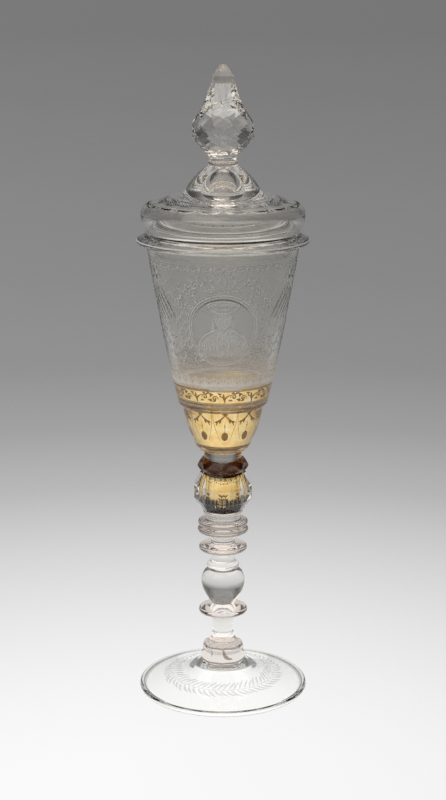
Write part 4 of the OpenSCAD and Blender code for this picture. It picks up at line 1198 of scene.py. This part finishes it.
# dots, sprigs and streaks of cement on the knop's leaf; run lengths and widths are (middle, spread)
dots = {"sprigs": 6, "dots": 7, "dotDrop": 1.6, "dotSag": 1.3, "dotSizes": (0.22, 0.34),
        "stem": ((0, 2.2), (0.2, 4.2), (-0.1, 6.2)), "stemLine": (0.5, 0.5, 0.3),
        "leaves": ((30, 3.2), (150, 3.4), (45, 4.8), (135, 5.0)), "leaf": (1.9, 0.8),
        "runs": 34, "runFoot": 1.0, "runSway": 7, "runLength": (2.4, 3.0), "runWidth": (1.5, 0.6), "runLift": 0.05}
z0, z1 = levels("knop_leaf")
knopPlace = wrapRound([(leafR, z0), (leafR, z1)], leafR)
unit = 2 * pi * leafR / dots["sprigs"]
specks = []
for i in range(dots["sprigs"]):
    x = i * unit
    for k in range(dots["dots"]):
        share = k / dots["dots"]
        z = z1 - dots["dotDrop"] - dots["dotSag"] * sin(pi * share)
        disc(specks, x + unit * (share - 0.5), z, dots["dotSizes"][k % 2])
    sweepStroke(specks, [(x + out, z0 + rise) for out, rise in dots["stem"]], dots["stemLine"], 4)
    for angle, rise in dots["leaves"]:
        leafStroke(specks, x, z0 + rise, angle, *dots["leaf"])
wrapDrawing("knopSpecks", specks, knopPlace, needleBrown)
runs = []                                       # dark cement that crept up between the leaf and the bore
for k in range(dots["runs"]):
    x, angle = 2 * pi * leafR * k / dots["runs"], 90 + dots["runSway"] * sin(k * 2.7)
    length = dots["runLength"][0] + dots["runLength"][1] * abs(sin(k * 1.9)) * abs(sin(k * 0.7 + 1.1))
    width = dots["runWidth"][0] + dots["runWidth"][1] * sin(k * 3.1)
    leafStroke(runs, x, z0 - dots["runFoot"], angle, length, width)
wrapDrawing("knopCementRuns", runs, knopPlace, darkCement, dots["runLift"])
print("gold leaf drawn")

# glass throws almost no shadow in the soft light
for thing in bpy.data.objects:
    if thing.type == "MESH" and "Glass" in thing.name:
        thing.visible_shadow = False


# a round patch of floor that gives off its own light
def layFloor(name, radius, z, finish):
    bpy.ops.object.select_all(action="DESELECT")
    bpy.ops.mesh.primitive_circle_add(vertices=96, radius=radius, fill_type="NGON", location=(0, 0, z))
    sheet = bpy.context.object
    sheet.name = name
    bpy.ops.object.transform_apply()
    sheet.data.materials.append(finish)


# floor, a pale sweep that glows, with a painted pool of light round the foot and painted brightening to the left;
# distances in metres
floorLook = {"centre": (0, -0.15, 0), "reach": 10.7, "radius": 30.0, "z": -0.0002, "lean": -0.25, "leanReach": 0.8,
             "pool": [(0.0, 0.94), (0.1, 0.935), (0.17, 0.885), (0.26, 0.79), (0.37, 0.65), (0.5, 0.475), (0.67, 0.35),
                      (0.89, 0.28), (1.4, 0.25), (2.85, 0.224), (4.7, 0.207), (10.7, 0.19)]}


def sweepLook(tree):
    place = put(tree, "ShaderNodeTexCoord").outputs["Object"]
    away = put(tree, "ShaderNodeVectorMath", {0: place, 1: floorLook["centre"]}, operation="DISTANCE").outputs["Value"]
    share = put(tree, "ShaderNodeMath", {0: away, 1: floorLook["reach"]}, operation="DIVIDE")
    pool = put(tree, "ShaderNodeValToRGB", {"Fac": share.outputs[0]},
               [(d / floorLook["reach"], grey(v)) for d, v in floorLook["pool"]])
    parts = put(tree, "ShaderNodeSeparateXYZ", {0: place})
    run = put(tree, "ShaderNodeMath", {0: away, 1: floorLook["leanReach"]}, operation="ADD")
    lean = put(tree, "ShaderNodeMath", {0: parts.outputs["X"], 1: run.outputs[0]}, operation="DIVIDE")
    power = put(tree, "ShaderNodeMath", {0: lean.outputs[0], 1: floorLook["lean"], 2: 1.0}, operation="MULTIPLY_ADD")
    return {"Color": pool.outputs["Color"], "Strength": power.outputs[0]}


layFloor("floor", floorLook["radius"], floorLook["z"], makeMaterial("paleSweep", sweepLook, "ShaderNodeEmission"))

# painted light that the foot gathers under itself, with a painted shadow ring under the fold
glowLook = {"inset": 1.5, "z": -0.0001, "strength": 1.05,
            "tones": [(0.9, grey(1)), (0.928, (0.58, 0.58, 0.57, 1)), (0.944, (0.58, 0.58, 0.57, 1)),
                      (0.96, grey(0.9))]}


def gatheredLook(tree):
    place = put(tree, "ShaderNodeTexCoord").outputs["Object"]
    away = put(tree, "ShaderNodeVectorMath", {0: place}, operation="LENGTH")
    share = put(tree, "ShaderNodeMath", {0: away.outputs["Value"], 1: footR * mm}, operation="DIVIDE")
    tone = put(tree, "ShaderNodeValToRGB", {"Fac": share.outputs[0]}, glowLook["tones"])
    return {"Color": tone.outputs["Color"], "Strength": glowLook["strength"]}


layFloor("footGlow", (footR - glowLook["inset"]) * mm, glowLook["z"],
         makeMaterial("gatheredLight", gatheredLook, "ShaderNodeEmission"))

# grey room, brighter overhead, with black flags at both sides
room = {"fade": [(0.0, grey(0.26)), (0.4, grey(0.25)), (0.7, (0.36, 0.355, 0.345, 1)), (0.9, (0.6, 0.58, 0.55, 1)),
                 (1.0, (0.68, 0.65, 0.61, 1))],
        "flags": [(0.3, grey(1)), (0.55, grey(0.3)), (1.0, grey(0.16))], "far": grey(0.19)}
world = bpy.data.worlds.new("room")
bpy.context.scene.world = world
world.use_nodes = True
tree = world.node_tree
tree.nodes.clear()
place = put(tree, "ShaderNodeTexCoord")
parts = put(tree, "ShaderNodeSeparateXYZ", {0: place.outputs["Generated"]})
fade = put(tree, "ShaderNodeValToRGB", {"Fac": parts.outputs["Z"]}, room["fade"])
side = put(tree, "ShaderNodeMath", {0: parts.outputs["X"]}, operation="ABSOLUTE")
flags = put(tree, "ShaderNodeValToRGB", {"Fac": side.outputs[0]}, room["flags"])
glow = put(tree, "ShaderNodeBackground", {"Color": fade.outputs["Color"], "Strength": flags.outputs["Color"]})
# past the sweep, in its own far tone, with the same painted brightening to the left
power = put(tree, "ShaderNodeMath", {0: parts.outputs["X"], 1: floorLook["lean"], 2: 1.0}, operation="MULTIPLY_ADD")
far = put(tree, "ShaderNodeBackground", {"Color": room["far"], "Strength": power.outputs[0]})
seen = put(tree, "ShaderNodeLightPath").outputs["Is Camera Ray"]
both = put(tree, "ShaderNodeMixShader", {0: seen, 1: glow.outputs[0], 2: far.outputs[0]})
put(tree, "ShaderNodeOutputWorld", {"Surface": both.outputs[0]})

# soft boxes above and to the left: place, size and power
lights = {"overhead": ((0, 0.6, 1.35), (1.3, 0.6), 1.6), "leftBox": ((-0.8, -1.1, 1.5), (1.8, 1.8), 10.0)}
lightTint, lightAim = srgb("#FFF3E4")[:3], Vector((0, 0, 0.16))
for name, (spot, size, power) in lights.items():
    lamp = bpy.data.lights.new(name, "AREA")
    lamp.color = lightTint
    lamp.shape, lamp.size, lamp.size_y, lamp.energy = "RECTANGLE", size[0], size[1], power
    thing = bpy.data.objects.new(name, lamp)
    bpy.context.scene.collection.objects.link(thing)
    thing.location = spot
    thing.rotation_euler = (lightAim - Vector(spot)).to_track_quat("-Z", "Y").to_euler()

# camera at the photograph's angle
view = {"place": (0, -0.810, 0.3474), "pitch": radians(13.8), "lens": 76.95, "sensor": 36}
eye = bpy.data.cameras.new("camera")
eye.lens, eye.sensor_width = view["lens"], view["sensor"]
seer = bpy.data.objects.new("camera", eye)
bpy.context.scene.collection.objects.link(seer)
seer.location = view["place"]
seer.rotation_euler = (pi / 2 - view["pitch"], 0, 0)
bpy.context.scene.camera = seer
bpy.context.scene.view_settings.view_transform = "Standard"
tracer = bpy.context.scene.cycles
tracer.max_bounces = tracer.transmission_bounces = 32
tracer.glossy_bounces = 12
tracer.transparent_max_bounces = 64
tracer.caustics_reflective = tracer.caustics_refractive = False
print("lights and camera placed")

bpy.context.view_layer.update()
